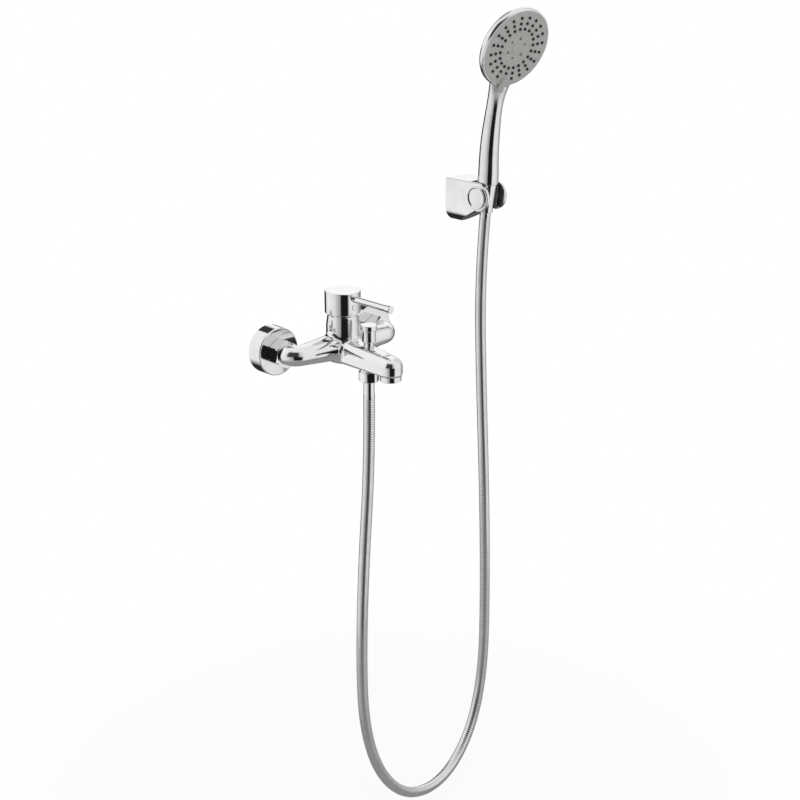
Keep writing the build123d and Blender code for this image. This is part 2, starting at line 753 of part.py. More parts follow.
def holder_base():
    side_plane = Plane(origin=(holder_x, 0, 0), x_dir=(0, -1, 0), z_dir=(-1, 0, 0))
    block = extrude(side_plane * holder_side(), holder_half, both=True)
    front_plane = Plane(origin=(holder_x, 0, 0), x_dir=(1, 0, 0), z_dir=(0, -1, 0))
    depth = holder_reach + cheek_r + 1
    block &= extrude(front_plane * holder_front(holder_half, holder_top, holder_low), depth)
    noses = block.edges().filter_by(GeomType.CIRCLE).filter_by(lambda edge: edge.center().Y < pivot_y)
    block = fillet(noses, cheek_edge)
    # fork for the cradle
    across = Pos(holder_x, pivot_y, holder_z) * Rot(0, 90, 0)
    fork = Cylinder(fork_back_r, 2 * fork_half)
    block -= across * fork
    block -= Pos(holder_x, pivot_y, holder_z) * Box(
        2 * fork_half, 4 * cheek_r, 3 * cheek_r, align=(Align.CENTER, Align.MAX, Align.CENTER))
    # hollow behind, for the wall plate
    inner = extrude(front_plane * holder_front(
        holder_half - holder_wall, holder_top - holder_wall, holder_low + holder_wall), holder_foot - holder_wall)
    block -= inner
    # pivot holes and the set screw's hole
    block -= across * Cylinder(pivot_r + turn_gap, 3 * holder_half)
    block -= Pos(holder_x, -plate_thickness / 2, holder_low - 1) * rod(set_screw_r + thread_gap, holder_wall + 2)
    return block


def holder_wall_plate():
    """Flat plate that is screwed to the wall; the holder hooks over it."""
    gap = 0.3
    front_plane = Plane(origin=(holder_x, 0, 0), x_dir=(1, 0, 0), z_dir=(0, -1, 0))
    plate = extrude(front_plane * holder_front(
        holder_half - holder_wall - gap, holder_top - holder_wall - gap, holder_low + holder_wall + gap),
        plate_thickness)
    middle = (holder_top + holder_low) / 2 + 1.0
    for side in (-1, 1):
        hole = from_wall(holder_x, middle + side * plate_hole_spacing / 2)
        plate -= hole * rod(plate_hole_r, plate_thickness)
        plate -= hole * Pos(0, 0, plate_thickness - 2.2) * Cone(
            plate_hole_r, plate_hole_r + 2.2, 2.2, align=CENTRED)
    return plate - Pos(holder_x, -plate_thickness / 2, holder_low) * rod(set_screw_r + thread_gap, holder_wall + 4)


def holder_set_screw():
    screw = rod(set_screw_r, holder_wall + 3.4) - extrude(RegularPolygon(1.0, 6), 1.6)
    return Pos(holder_x, -plate_thickness / 2, holder_low + 0.3) * screw


def holder_cover(side):
    """Round button over the pivot on the outside of a cheek."""
    button = rod(cover_r, cover_height)
    button = fillet(button.edges().sort_by(Axis.Z)[-1], 1.0)
    button -= rod(pivot_r + 1.0, 1.0)
    return Pos(holder_x + side * holder_half, pivot_y, holder_z) * Rot(0, side * 90, 0) * button


# Cradle, cone nut and hand shower share the cradle's leaning axis

in_cradle = Pos(holder_x, pivot_y, holder_z) * Rot(cradle_tilt, 0, 0)
in_handset = in_cradle * Rot(0, 0, handset_turn)


def cone_radius(z):
    """Outer radius of the cone nut at a height on its axis."""
    return cone_foot_r + (cone_top_r - cone_foot_r) * (z - cone_foot) / cone_length


def holder_cradle():
    """Sleeve with a conical bore, a slot for the hose and a boss for each pivot pin."""
    sleeve = Pos(0, 0, cradle_foot) * rod(cradle_r, cradle_top - cradle_foot)
    sleeve += Rot(0, 90, 0) * Cylinder(pivot_r + 2.0, 2 * (fork_half - turn_gap))
    start = cradle_foot - 1
    end = cradle_top + 1
    sleeve -= Pos(0, 0, start) * Cone(
        cone_radius(start) + cone_gap, cone_radius(end) + cone_gap, end - start, align=CENTRED)
    sleeve -= Pos(0, 0, start) * Box(
        cradle_slot, 2 * cradle_r, end - start, align=(Align.CENTER, Align.MAX, Align.MIN))
    sleeve -= Rot(0, 90, 0) * Cylinder(pivot_r, 4 * cradle_r)
    return in_cradle * sleeve


def cradle_pins():
    """The two pivot pins, held in the cradle's bosses and turning in the cheeks."""
    start = cone_radius(pivot_r) + 2 * cone_gap + 0.2
    length = holder_half - 0.3 - start
    pins = [Rot(0, side * 90, 0) * Pos(0, 0, start) * rod(pivot_r, length) for side in (-1, 1)]
    return in_cradle * Compound(children=pins)


seat_top = cone_top - cone_thread


def cone_nut():
    nut = Pos(0, 0, cone_foot) * Cone(cone_foot_r, cone_top_r, cone_length, align=CENTRED)
    nut = chamfer(nut.edges().filter_by(GeomType.CIRCLE), 0.4)
    nut -= Pos(0, 0, seat_top) * rod(half_inch_r + thread_gap, cone_thread)
    return in_handset * (nut - Pos(0, 0, cone_foot) * rod(ferrule_r + turn_gap, cone_length))


def hose_upper_ferrule():
    end = cone_foot - ferrule_proud
    barrel = Pos(0, 0, end) * rod(ferrule_r, seat_top + face_gap - end)
    flange = Pos(0, 0, seat_top + face_gap) * rod(half_inch_r - 0.3, ferrule_flange)
    bore = Pos(0, 0, end) * rod(hose_bore_r, cone_length)
    return in_cradle * (barrel + flange - bore)


washer_z = seat_top + face_gap + ferrule_flange + face_gap


def hose_upper_washer():
    ring = tube(half_inch_r - 0.4, inlet_bore_r, hose_washer)
    return in_cradle * Pos(0, 0, washer_z) * ring


def handset_inlet():
    """Threaded insert in the foot of the handle."""
    start = washer_z + hose_washer
    insert = rod(half_inch_r, inlet_seat + cone_top - start) - rod(inlet_bore_r, inlet_seat + cone_top - start)
    return in_handset * Pos(0, 0, start) * insert


on_face = in_handset * Pos(0, face_y, face_z) * Rot(90 + face_lean, 0, 0)


def handle_section(share, y, lean, rx, ry):
    """Section of the handle at a share of the way from its foot to the back of the head."""
    z = handle_foot + share * (face_z - handle_crown - handle_foot)
    return Pos(0, y, z) * Rot(lean, 0, 0) * Ellipse(rx, ry)


handle_foot = cone_top + part_line


def handset_body():
    """Handle and back of the head in one moulding, hollow for the water."""
    handle = loft([
        handle_section(0, 0, 0, handle_foot_r, handle_foot_r),
        handle_section(1 / 6, 1.4, -3, handle_foot_r - 0.4, handle_foot_r - 0.4),
        handle_section(2 / 6, 2.5, -1, handle_foot_r - 1.0, handle_foot_r - 1.0),
        handle_section(3 / 6, 2.0, 3, handle_waist_r + 0.9, handle_waist_r + 0.8),
        handle_section(4 / 6, 0.3, 6, handle_waist_r, handle_waist_r - 0.2),
        handle_section(5 / 6, -3.3, 12, handle_waist_r + 1.6, handle_waist_r - 0.5),
        handle_section(1, -10.2, face_lean, handle_waist_r + 8.5, handle_waist_r - 0.2),
        handle_section(7 / 6, -17.0, face_lean, handle_waist_r + 11.0, handle_waist_r - 3.0),
    ])
    shell_z = -rim_depth
    outline = make_face(
        Polyline((0, -head_depth + 6), (0, shell_z), (head_r, shell_z))
        + Spline((head_r, shell_z), (0.87 * head_r, -0.48 * head_depth), (0.53 * head_r, -0.78 * head_depth),
                 (0, -head_depth),
                 tangents=((-0.15, -1), (-1, 0)))
        + Line((0, -head_depth), (0, -head_depth + 6)))
    head = revolve(Plane.XZ * outline, Axis.Z)
    inner_r = head_r - head_wall
    hollow_outline = make_face(
        Polyline((0, shell_z), (inner_r, shell_z))
        + Spline((inner_r, shell_z), (0.855 * inner_r, -0.42 * head_depth),
                 (0.505 * inner_r, -0.68 * head_depth), (0, head_wall - head_depth),
                 tangents=((-0.15, -1), (-1, 0)))
        + Line((0, head_wall - head_depth), (0, shell_z)))
    hollow = revolve(Plane.XZ * hollow_outline, Axis.Z)
    to_face = Pos(0, face_y, face_z) * Rot(90 + face_lean, 0, 0)
    front_cut = Pos(0, 0, shell_z) * rod(head_r + part_line, head_depth)
    neck_r = head_r + neck_edge
    run_out = Cone(neck_r, neck_r + neck_run_out, 2 * neck_flat, align=CENTRED)
    neck_cut = Pos(0, 0, -neck_flat) * (rod(neck_r, head_depth) + run_out)
    body = handle + to_face * head
    body -= to_face * hollow
    body -= to_face * (front_cut + neck_cut)
    bore = loft([
        handle_section(0, 0, 0, handle_bore_r, handle_bore_r),
        handle_section(1 / 6, 1.4, -3, handle_bore_r, handle_bore_r),
        handle_section(2 / 6, 2.5, -1, handle_bore_r, handle_bore_r),
        handle_section(3 / 6, 2.0, 3, handle_bore_r, handle_bore_r),
        handle_section(4 / 6, 0.3, 6, neck_bore_r, neck_bore_r),
        handle_section(5 / 6, -3.3, 12, neck_bore_r, neck_bore_r),
        handle_section(1, -10.2, face_lean, neck_bore_r, neck_bore_r),
    ])
    body -= bore
    body -= Pos(0, 0, cone_top) * rod(half_inch_r + thread_gap, part_line + inlet_seat)
    return in_handset * body


def head_rim():
    """Chrome ring round the spray face."""
    inner = face_r + part_line
    front_r = head_r - rim_curve
    outline = make_face(
        Polyline((inner, -rim_depth), (head_r, -rim_depth))
        + ThreePointArc((head_r, -rim_depth), (head_r - 0.22 * rim_curve, -0.4 * rim_depth), (front_r, 0.2))
        + Line((front_r, 0.2), (inner, 0.2))
        + Line((inner, 0.2), (inner, -rim_depth)))
    return on_face * revolve(Plane.XZ * outline, Axis.Z)


turned = on_face * Rot(0, 0, selector_turn)


def around(count, skip=()):
    """Angles of a ring that starts at the bottom of the face."""
    return [-90 + 360 * k / count for k in range(count) if k not in skip]


def spray_plate():
    """Grey front plate with a round window for the centre disc."""
    plate = Pos(0, 0, face_proud - face_thickness) * tube(face_r, centre_r + thread_gap, face_thickness)
    plate = chamfer(plate.edges().group_by(Axis.Z)[-1].sort_by(SortBy.RADIUS)[-1], 0.4)
    return turned * plate


def nozzle():
    """One soft spray nozzle, an eight sided cone that stands on the plate."""
    return loft([
        RegularPolygon(nozzle_r, 8),
        Pos(0, 0, nozzle_height) * RegularPolygon(nozzle_r * 0.78, 8),
    ])


def spray_nozzles():
    """Three rings of nozzles; the place under the selector tab in the outer ring is left out."""
    places = []
    for ring in nozzle_rings:
        skip = (0,) if ring == max(nozzle_rings) else ()
        for angle in around(nozzles_per_ring, skip):
            at = Pos(ring * cos(radians(angle)), ring * sin(radians(angle)), face_proud)
            places.append(turned * at * nozzle())
    return Compound(children=places)


def spray_centre():
    """Centre disc with its ring of triangular outlets."""
    disc = Pos(0, 0, face_proud - face_thickness) * rod(centre_r, face_thickness + centre_proud - face_proud)
    disc += Pos(0, 0, centre_proud) * rod(centre_boss_r, centre_boss)
    for angle in around(centre_outlets):
        hole = extrude(RegularPolygon(centre_outlet_side / 3 ** 0.5, 3), 2 * face_thickness)
        place = Rot(0, 0, angle) * Pos(centre_outlet_ring, 0, -face_thickness)
        disc -= place * hole
    return turned * disc


def selector_tab():
    """Thumb tab at the edge of the spray plate that turns it."""
    length = tab_outer - tab_inner
    tab = extrude(SlotOverall(length, tab_width, rotation=90), tab_height)
    tab = fillet(tab.edges().group_by(Axis.Z)[-1], 1.2)
    place = Pos(0, -(tab_inner + tab_outer) / 2, face_proud)
    return turned * place * tab


def water_distributor():
    """Fixed disc behind the spray plate that feeds the rings of nozzles."""
    back = face_proud - face_thickness - part_line
    disc = Pos(0, 0, back - distributor_height) * rod(distributor_r, distributor_height)
    for angle in around(6):
        port = Rot(0, 0, angle) * Pos(sum(nozzle_rings) / 3, 0, back - distributor_height)
        disc -= port * rod(2.5, distributor_height)
    disc -= Pos(0, 0, back - distributor_height) * rod(face_screw_r + thread_gap, distributor_height)
    return on_face * disc


def face_screw():
    """Screw that holds the centre disc and the plate on the distributor."""
    back = face_proud - face_thickness
    shank = Pos(0, 0, back - distributor_height - 4) * rod(face_screw_r, distributor_height + 4)
    return on_face * shank


# Hose

outlet_end = (0.0, -wall_to_body - diverter_reach, body_level + lower_end_z)
upper_end = (in_cradle * Pos(0, 0, cone_foot - ferrule_proud)).position
upper_bend = (in_cradle * Pos(0, 0, cone_foot - ferrule_proud - 92)).position
hose_points = [
    outlet_end,
    (outlet_end[0], outlet_end[1], -132),
    (-14, -99, -268),
    (-20, -100, -398),
    (-15, -99, -492),
    (13, -95, -574),
    (66, -85, -636),
    (130, -72, -664),
    (188, -61, -655),
    (234, -53, -609),
    (258, -48, -530),
    (261, -46, -418),
    (257, -45, -268),
    (247, -45, -112),
    (upper_bend.X, upper_bend.Y, upper_bend.Z),
    (upper_end.X, upper_end.Y, upper_end.Z),
]


def corner_radii(points):
    """Largest arc that fits each corner of the route."""
    vectors = [Vector(*p) for p in points]
    runs = [b - a for a, b in zip(vectors, vectors[1:])]
    radii = []
    for before, after in zip(runs, runs[1:]):
        turn = radians(before.get_angle(after))
        radii.append(0.45 * min(before.length, after.length) / tan(turn / 2))
    return radii


def hose_path():
    radii = corner_radii(hose_points)
    print("hose radii", [round(r) for r in radii])
    return FilletPolyline(*hose_points, radius=radii)


def hose_circle(path, place, r):
    """Circle across the hose, its X axis kept level with the Y axis of the room."""
    along = path.tangent_at(place)
    across = Vector(0, 1, 0) - along * along.Y
    return Wire([Edge.make_circle(r, Plane(origin=path.position_at(place), x_dir=across, z_dir=along))])


def shower_hose():
    """Ribbed metal hose: a ruled skin over the ribs, round a smooth bore."""
    path = hose_path()
    length = path.length
    plain = 2 * hose_r / length
    pitch = (1 - 2 * plain) / hose_ribs
    circles = [hose_circle(path, 0, hose_r)]
    for rib in range(hose_ribs):
        start = plain + rib * pitch
        for share, r in ((0.0, hose_r), (0.1, hose_r - hose_groove), (0.3, hose_r - hose_groove), (0.4, hose_r)):
            circles.append(hose_circle(path, start + share * pitch, r))
    circles.append(hose_circle(path, 1, hose_r))
    skin = Solid.make_loft(circles, ruled=True)
    start_plane = Plane(origin=path @ 0, x_dir=(1, 0, 0), z_dir=path % 0)
    bore = sweep(start_plane * Circle(hose_bore_r), path=path)
    print("hose length", round(length, 1), "bore volume share",
          round(bore.volume / (length * 3.14159265 * hose_bore_r ** 2), 4))
    return skin - bore


half_spacing = inlet_spacing / 2
parts = {
    "mixer_body": mixer_body(),
    "inlet_washers": Compound(children=[from_wall(side * half_spacing, inlet_rise) * inlet_washer()
                                        for side in (-1, 1)]),
    "cartridge_base": cartridge_base(),
    "cartridge_seals": cartridge_seals(),
    "fixed_disc": fixed_disc(),
    "moving_disc": moving_disc(),
    "disc_carrier": disc_carrier(),
    "cartridge_housing": cartridge_housing(),
    "stem_guide": stem_guide(),
    "spindle_axle": spindle_axle(),
    "lever_spindle": lever_spindle(),
    "cartridge_nut": cartridge_nut(),
    "dome_ring": dome_ring(),
    "lever_cap": lever_cap(),
    "lever_pin": lever_pin(),
    "lever_pin_tip": lever_pin_tip(),
    "lever_grub_screw": lever_grub_screw(),
    "index_plug": index_plug(),
    "diverter_bonnet": diverter_bonnet(),
    "diverter_rod": diverter_rod(),
    "diverter_plug": diverter_plug(),
    "diverter_knob": diverter_knob(),
    "shower_outlet": shower_outlet(),
    "hose_nut": hose_nut(),
    "hose_lower_ferrule": hose_lower_ferrule(),
    "hose_lower_washer": hose_lower_washer(),
    "aerator_housing": aerator_housing(),
    "aerator_insert": aerator_insert(),
    "aerator_washer": aerator_washer(),
    "holder_base": holder_base(),
    "holder_wall_plate": holder_wall_plate(),
    "holder_set_screw": holder_set_screw(),
    "holder_left_cover": holder_cover(-1),
    "holder_right_cover": holder_cover(1),
    "holder_cradle": holder_cradle(),
    "cradle_pins": cradle_pins(),
    "cone_nut": cone_nut(),
    "hose_upper_ferrule": hose_upper_ferrule(),
    "hose_upper_washer": hose_upper_washer(),
    "handset_inlet": handset_inlet(),
    "handset_body": handset_body(),
    "head_rim": head_rim(),
    "spray_plate": spray_plate(),
    "spray_nozzles": spray_nozzles(),
    "spray_centre": spray_centre(),
    "selector_tab": selector_tab(),
    "water_distributor": water_distributor(),
    "face_screw": face_screw(),
    "shower_hose": shower_hose(),
}
for side, name in ((-1, "left"), (1, "right")):
    place = side * half_spacing
    parts[name + "_s_union"] = from_wall(place, 0) * s_union()
    parts[name + "_escutcheon"] = from_wall(place, inlet_rise) * escutcheon()
    parts[name + "_union_nut"] = from_wall(place, inlet_rise) * union_nut()
    parts[name + "_inlet_nipple"] = from_wall(place, inlet_rise) * inlet_nipple()

os.makedirs("parts", exist_ok=True)
for name, solid in parts.items():
    export_step(solid, "parts/" + name + ".step")
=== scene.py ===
"""Wall mounted bath mixer with a hand shower, its hose and its wall holder.

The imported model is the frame. This script adds the camera, the studio, the finishes, and the
pieces whose small forms repeat or are finest: the ribs of the hose, the spray nozzles, the inlet
threads and the dished covers of the holder.
Everything is in metres, in the frame of the part: X along the wall, +Y into the wall, +Z up.
Sizes that follow the cradle and its holder are written in millimetres, as they are drawn.
"""
from __future__ import annotations

import json
import logging
import math
from dataclasses import dataclass
from enum import Enum
from typing import Any, Sequence

import bmesh
import bpy
from mathutils import Matrix, Vector

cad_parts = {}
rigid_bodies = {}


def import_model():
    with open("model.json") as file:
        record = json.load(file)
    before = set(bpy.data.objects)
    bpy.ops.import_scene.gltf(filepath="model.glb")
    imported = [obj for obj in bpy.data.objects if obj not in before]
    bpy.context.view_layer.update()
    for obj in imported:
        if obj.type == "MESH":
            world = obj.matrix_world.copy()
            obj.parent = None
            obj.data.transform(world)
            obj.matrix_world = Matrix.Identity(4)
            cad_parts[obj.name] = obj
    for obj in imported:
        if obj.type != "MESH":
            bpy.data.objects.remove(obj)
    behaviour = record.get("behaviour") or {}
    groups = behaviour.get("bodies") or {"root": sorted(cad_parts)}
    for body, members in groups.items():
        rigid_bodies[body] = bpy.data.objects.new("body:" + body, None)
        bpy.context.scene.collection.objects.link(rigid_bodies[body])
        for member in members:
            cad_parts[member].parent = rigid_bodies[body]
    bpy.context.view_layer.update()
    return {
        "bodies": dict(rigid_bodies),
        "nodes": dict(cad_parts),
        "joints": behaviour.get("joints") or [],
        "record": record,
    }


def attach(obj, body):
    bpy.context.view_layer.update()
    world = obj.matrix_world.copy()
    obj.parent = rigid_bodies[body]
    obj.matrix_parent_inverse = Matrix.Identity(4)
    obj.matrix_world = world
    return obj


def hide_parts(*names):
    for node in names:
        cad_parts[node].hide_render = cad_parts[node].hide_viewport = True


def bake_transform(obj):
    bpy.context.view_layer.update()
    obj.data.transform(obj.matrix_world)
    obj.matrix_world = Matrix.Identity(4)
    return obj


log = logging.getLogger("bath_mixer")

Socket = bpy.types.NodeSocket
Nodes = dict[str, bpy.types.Object]
Colour = tuple[float, float, float, float]
Point = tuple[float, float, float]
Pair = tuple[float, float]
Stops = tuple[Pair, ...]

WHITE: Colour = (1.0, 1.0, 1.0, 1.0)
MM_PER_METRE = 1000.0
CRADLE_PIVOT: Point = (239.0, -55.5, 154.0)


class Body(Enum):
    """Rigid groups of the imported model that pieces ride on."""

    WALL = "wall_side"
    CRADLE = "cradle"
    HOSE_END = "hose_end"
    SPRAY_FACE = "spray_face"


class Coat(Enum):
    """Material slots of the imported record."""

    CHROMED_PLASTIC = "chromed_plastic"
    BRASS = "brass"
    HOSE_METAL = "hose_metal"
    SOFT_GREY = "soft_grey"


class Input(Enum):
    """Kinds of inputs that the geometry trees take."""

    NUMBER = "NodeSocketFloat"
    COUNT = "NodeSocketInt"
    MATERIAL = "NodeSocketMaterial"


class Tree:
    """Short hand for building a node tree."""

    def __init__(self, tree: bpy.types.NodeTree) -> None:
        """Keeps the shader, world or geometry tree that the calls below add to."""
        self.tree = tree

    def node(self, kind: str, settings: dict[str, Any] | None = None, **inputs: Any) -> bpy.types.Node:
        """Adds a node.

        Args:
            kind: Blender's type name of the node.
            settings: properties of the node itself.
            inputs: values or sockets for its inputs, with underscores for spaces.

        Returns:
            The new node.
        """
        made = self.tree.nodes.new(kind)
        for name, value in (settings or {}).items():
            setattr(made, name, value)
        for name, value in inputs.items():
            self.feed(made.inputs[name.replace("_", " ")], value)
        return made

    def feed(self, socket: Socket, value: Any) -> None:
        """Links a socket into an input, or sets the input's own value.

        Args:
            socket: the input.
            value: a socket to link, or a plain value to set.
        """
        if isinstance(value, bpy.types.NodeSocket):
            self.tree.links.new(value, socket)
        else:
            socket.default_value = value

    def math(self, operation: str, *values: Any, clamp: bool = False) -> Socket:
        """Adds a Math node.

        Args:
            operation: Blender's name of the operation.
            values: numbers or sockets, in order.
            clamp: keep the result between 0 and 1.

        Returns:
            The result's socket.
        """
        made = self.node("ShaderNodeMath", {"operation": operation, "use_clamp": clamp})
        for socket, value in zip(made.inputs, values):
            self.feed(socket, value)
        return made.outputs[0]

    def step(self, value: Socket, ends: Pair) -> Socket:
        """Rises smoothly from 0 to 1.

        Args:
            value: the socket that is followed.
            ends: where the step is 0, and where it is 1.

        Returns:
            The step's socket.
        """
        return self.node("ShaderNodeMapRange", {"interpolation_type": "SMOOTHSTEP"}, Value=value,
                         From_Min=ends[0], From_Max=ends[1]).outputs["Result"]

    def span(self, value: Socket, ends: Pair, results: Pair = (0.0, 1.0)) -> Socket:
        """Maps a range straight onto another.

        Args:
            value: the socket that is mapped.
            ends: both ends of its range.
            results: what the ends give.

        Returns:
            The mapped socket.
        """
        return self.node("ShaderNodeMapRange", Value=value, From_Min=ends[0], From_Max=ends[1],
                         To_Min=results[0], To_Max=results[1]).outputs["Result"]

    def zigzag(self, turns: Socket) -> Socket:
        """Swings evenly between 1 at whole turns and 0 halfway between them.

        Args:
            turns: the number of turns so far, not below 0.

        Returns:
            The swing's socket.
        """
        return self.math("ABSOLUTE", self.math("MULTIPLY_ADD", self.math("FRACT", turns), 2.0, -1.0))

    def mixed(self, share: Socket, first: Socket | Colour, second: Socket | Colour) -> Socket:
        """Mixes two colours.

        Args:
            share: the share of the second colour.
            first: the first colour.
            second: the second colour.

        Returns:
            The mixed colour's socket.
        """
        mix = self.node("ShaderNodeMix", {"data_type": "RGBA"})
        for place, value in ((0, share), (6, first), (7, second)):
            self.feed(mix.inputs[place], value)
        return mix.outputs[2]

    def mixed_shaders(self, share: Socket, first: Socket, second: Socket) -> Socket:
        """Mixes two shaders.

        Args:
            share: the share of the second shader.
            first: the first shader.
            second: the second shader.

        Returns:
            The mixed shader's socket.
        """
        mix = self.node("ShaderNodeMixShader", Fac=share)
        for place, shader in ((1, first), (2, second)):
            self.feed(mix.inputs[place], shader)
        return mix.outputs[0]

    def ramp(self, factor: Socket, stops: Stops) -> Socket:
        """Adds a ramp of greys.

        Args:
            factor: what runs along the ramp.
            stops: pairs of a place from 0 to 1 and a grey.

        Returns:
            The colour socket.
        """
        made = self.node("ShaderNodeValToRGB", Fac=factor)
        steps = made.color_ramp.elements
        while len(steps) > 1:
            steps.remove(steps[-1])
        for number, (place, grey) in enumerate(stops):
            step = steps[0] if number == 0 else steps.new(place)
            step.position = place
            step.color = (grey, grey, grey, 1.0)
        return made.outputs["Color"]

    def joined(self, parts: Sequence[Socket]) -> Socket:
        """Joins geometries.

        Args:
            parts: the geometries, in the order of their links.

        Returns:
            The joined geometry's socket.
        """
        join = self.node("GeometryNodeJoinGeometry")
        for part in parts:
            self.feed(join.inputs[0], part)
        return join.outputs[0]


@dataclass(frozen=True)
class Finish:
    """Surface finish with its own colours, gloss, smudges and grain, all in real sizes."""

    name: str
    colour: Point
    tint: Point
    rough: Pair
    smudge: float
    grain: float
    relief: float
    metallic: float = 0.0
    stretch: Point = (1.0, 1.0, 1.0)
    coat: float = 0.0
    ior: float = 1.5
    coat_rough: float = 0.04
    patches_per_smudge: float = 3.7
    smudge_share: float = 0.7
    patch_share: float = 0.3
    rough_noise: Pair = (0.35, 0.65)
    tint_noise: Pair = (0.3, 0.7)

    def wear(self, tree: Tree, place: Socket) -> Socket:
        """Lays wide smudges and smaller patches over the surface.

        Args:
            tree: the material's tree.
            place: the point on the surface.

        Returns:
            A socket of noise round 0.5.
        """
        smudge = tree.node("ShaderNodeTexNoise", Vector=place, Scale=1.0 / self.smudge,
                           Detail=3.0, Roughness=0.6).outputs["Fac"]
        patch = tree.node("ShaderNodeTexNoise", Vector=place, Scale=self.patches_per_smudge / self.smudge,
                          Detail=2.0, Roughness=0.5).outputs["Fac"]
        return tree.math("ADD", tree.math("MULTIPLY", smudge, self.smudge_share),
                         tree.math("MULTIPLY", patch, self.patch_share))

    def material(self) -> bpy.types.Material:
        """Builds the material, or finds it if it was built before.

        Returns:
            The material, made of nodes only.
        """
        known = bpy.data.materials.get(self.name)
        if known is not None:
            return known
        made = bpy.data.materials.new(self.name)
        made.use_nodes = True
        tree = Tree(made.node_tree)
        place = tree.node("ShaderNodeTexCoord").outputs["Object"]
        wear = self.wear(tree, place)
        lay = tree.node("ShaderNodeMapping", Vector=place, Scale=self.stretch)
        grain = tree.node("ShaderNodeTexNoise", Vector=lay.outputs["Vector"], Scale=1.0 / self.grain,
                          Detail=2.0, Roughness=0.5)
        bump = tree.node("ShaderNodeBump", Strength=1.0, Distance=self.relief, Height=grain.outputs["Fac"])
        shader = made.node_tree.nodes["Principled BSDF"]
        for name, value in {
                "Metallic": self.metallic, "IOR": self.ior,
                "Coat Weight": self.coat, "Coat Roughness": self.coat_rough,
                "Roughness": tree.span(wear, self.rough_noise, self.rough),
                "Base Color": tree.mixed(tree.span(wear, self.tint_noise),
                                         (*self.colour, 1.0), (*self.tint, 1.0)),
                "Normal": bump.outputs["Normal"]}.items():
            tree.feed(shader.inputs[name], value)
        return made

    def put_on(self, piece: bpy.types.Object) -> None:
        """Gives a piece this finish all over.

        Args:
            piece: the piece.
        """
        material = self.material()
        if piece.material_slots:
            for slot in piece.material_slots:
                slot.material = material
        else:
            piece.data.materials.append(material)


CHROME = Finish("bright_chrome", (0.80, 0.805, 0.81), (0.74, 0.745, 0.755), metallic=1.0,
                rough=(0.02, 0.06), smudge=0.03, grain=0.0009, relief=0.0000006)
PLATED_PLASTIC = Finish("plated_plastic", (0.82, 0.825, 0.83), (0.66, 0.665, 0.675), metallic=1.0,
                        rough=(0.03, 0.08), smudge=0.045, grain=0.004, relief=0.000004)
SPUN_CHROME = Finish("spun_chrome", (0.79, 0.795, 0.80), (0.70, 0.705, 0.715), metallic=1.0,
                     rough=(0.05, 0.11), smudge=0.02, grain=0.0005, relief=0.0000012,
                     stretch=(1.0, 12.0, 1.0))
WOUND_STEEL = Finish("wound_steel", (0.76, 0.76, 0.765), (0.66, 0.665, 0.675), metallic=1.0,
                     rough=(0.04, 0.08), smudge=0.012, grain=0.0004, relief=0.000003)
TURNED_BRASS = Finish("turned_brass", (0.80, 0.60, 0.28), (0.64, 0.44, 0.18), metallic=1.0,
                      rough=(0.18, 0.34), smudge=0.008, grain=0.0003, relief=0.000004,
                      stretch=(1.0, 9.0, 1.0))
DRAWN_STEEL = Finish("drawn_steel", (0.62, 0.62, 0.63), (0.50, 0.50, 0.52), metallic=1.0,
                     rough=(0.22, 0.36), smudge=0.006, grain=0.0003, relief=0.000003,
                     stretch=(1.0, 1.0, 10.0))
SATIN_GREY = Finish("satin_grey_plastic", (0.375, 0.372, 0.358), (0.335, 0.332, 0.322),
                    rough=(0.30, 0.40), smudge=0.014, grain=0.0005, relief=0.000006)
SOFT_NOZZLE = Finish("soft_nozzle_rubber", (0.010, 0.010, 0.011), (0.020, 0.020, 0.021),
                     rough=(0.42, 0.58), smudge=0.003, grain=0.0003, relief=0.000008, ior=1.35)
BLACK_RUBBER = Finish("black_rubber", (0.022, 0.022, 0.023), (0.040, 0.040, 0.041),
                      rough=(0.55, 0.75), smudge=0.004, grain=0.0003, relief=0.00001)
WHITE_RESIN = Finish("white_resin", (0.78, 0.78, 0.75), (0.70, 0.70, 0.66),
                     rough=(0.34, 0.46), smudge=0.01, grain=0.0006, relief=0.000006)
DARK_RESIN = Finish("dark_resin", (0.060, 0.062, 0.066), (0.085, 0.087, 0.092),
                    rough=(0.30, 0.44), smudge=0.008, grain=0.0005, relief=0.000008)
LAPPED_CERAMIC = Finish("lapped_ceramic", (0.86, 0.85, 0.82), (0.80, 0.79, 0.75),
                        rough=(0.08, 0.16), smudge=0.006, grain=0.0004, relief=0.000001, coat=0.3)


def link(piece: bpy.types.Object) -> bpy.types.Object:
    """Puts a new object into the scene and returns it."""
    bpy.context.scene.collection.objects.link(piece)
    return piece


def aim(thing: bpy.types.Object, place: Point, ahead: Vector) -> None:
    """Places a camera or a lamp and turns its view along a direction.

    Args:
        thing: the camera or the lamp.
        place: where it stands.
        ahead: the direction that it looks in.
    """
    thing.location = place
    thing.rotation_mode = "QUATERNION"
    thing.rotation_quaternion = ahead.to_track_quat("-Z", "Y")


def evaluated_mesh(thing: bpy.types.Object) -> bpy.types.Mesh:
    """Reads an object's evaluated geometry into a mesh of its own."""
    graph = bpy.context.evaluated_depsgraph_get()
    return bpy.data.meshes.new_from_object(thing.evaluated_get(graph), depsgraph=graph)


def smooth_by_angle(mesh: bpy.types.Mesh, degrees: float) -> None:
    """Shades a mesh smooth, with sharp edges where its faces turn by more than an angle."""
    mesh.shade_smooth()
    mesh.set_sharp_from_angle(angle=math.radians(degrees))


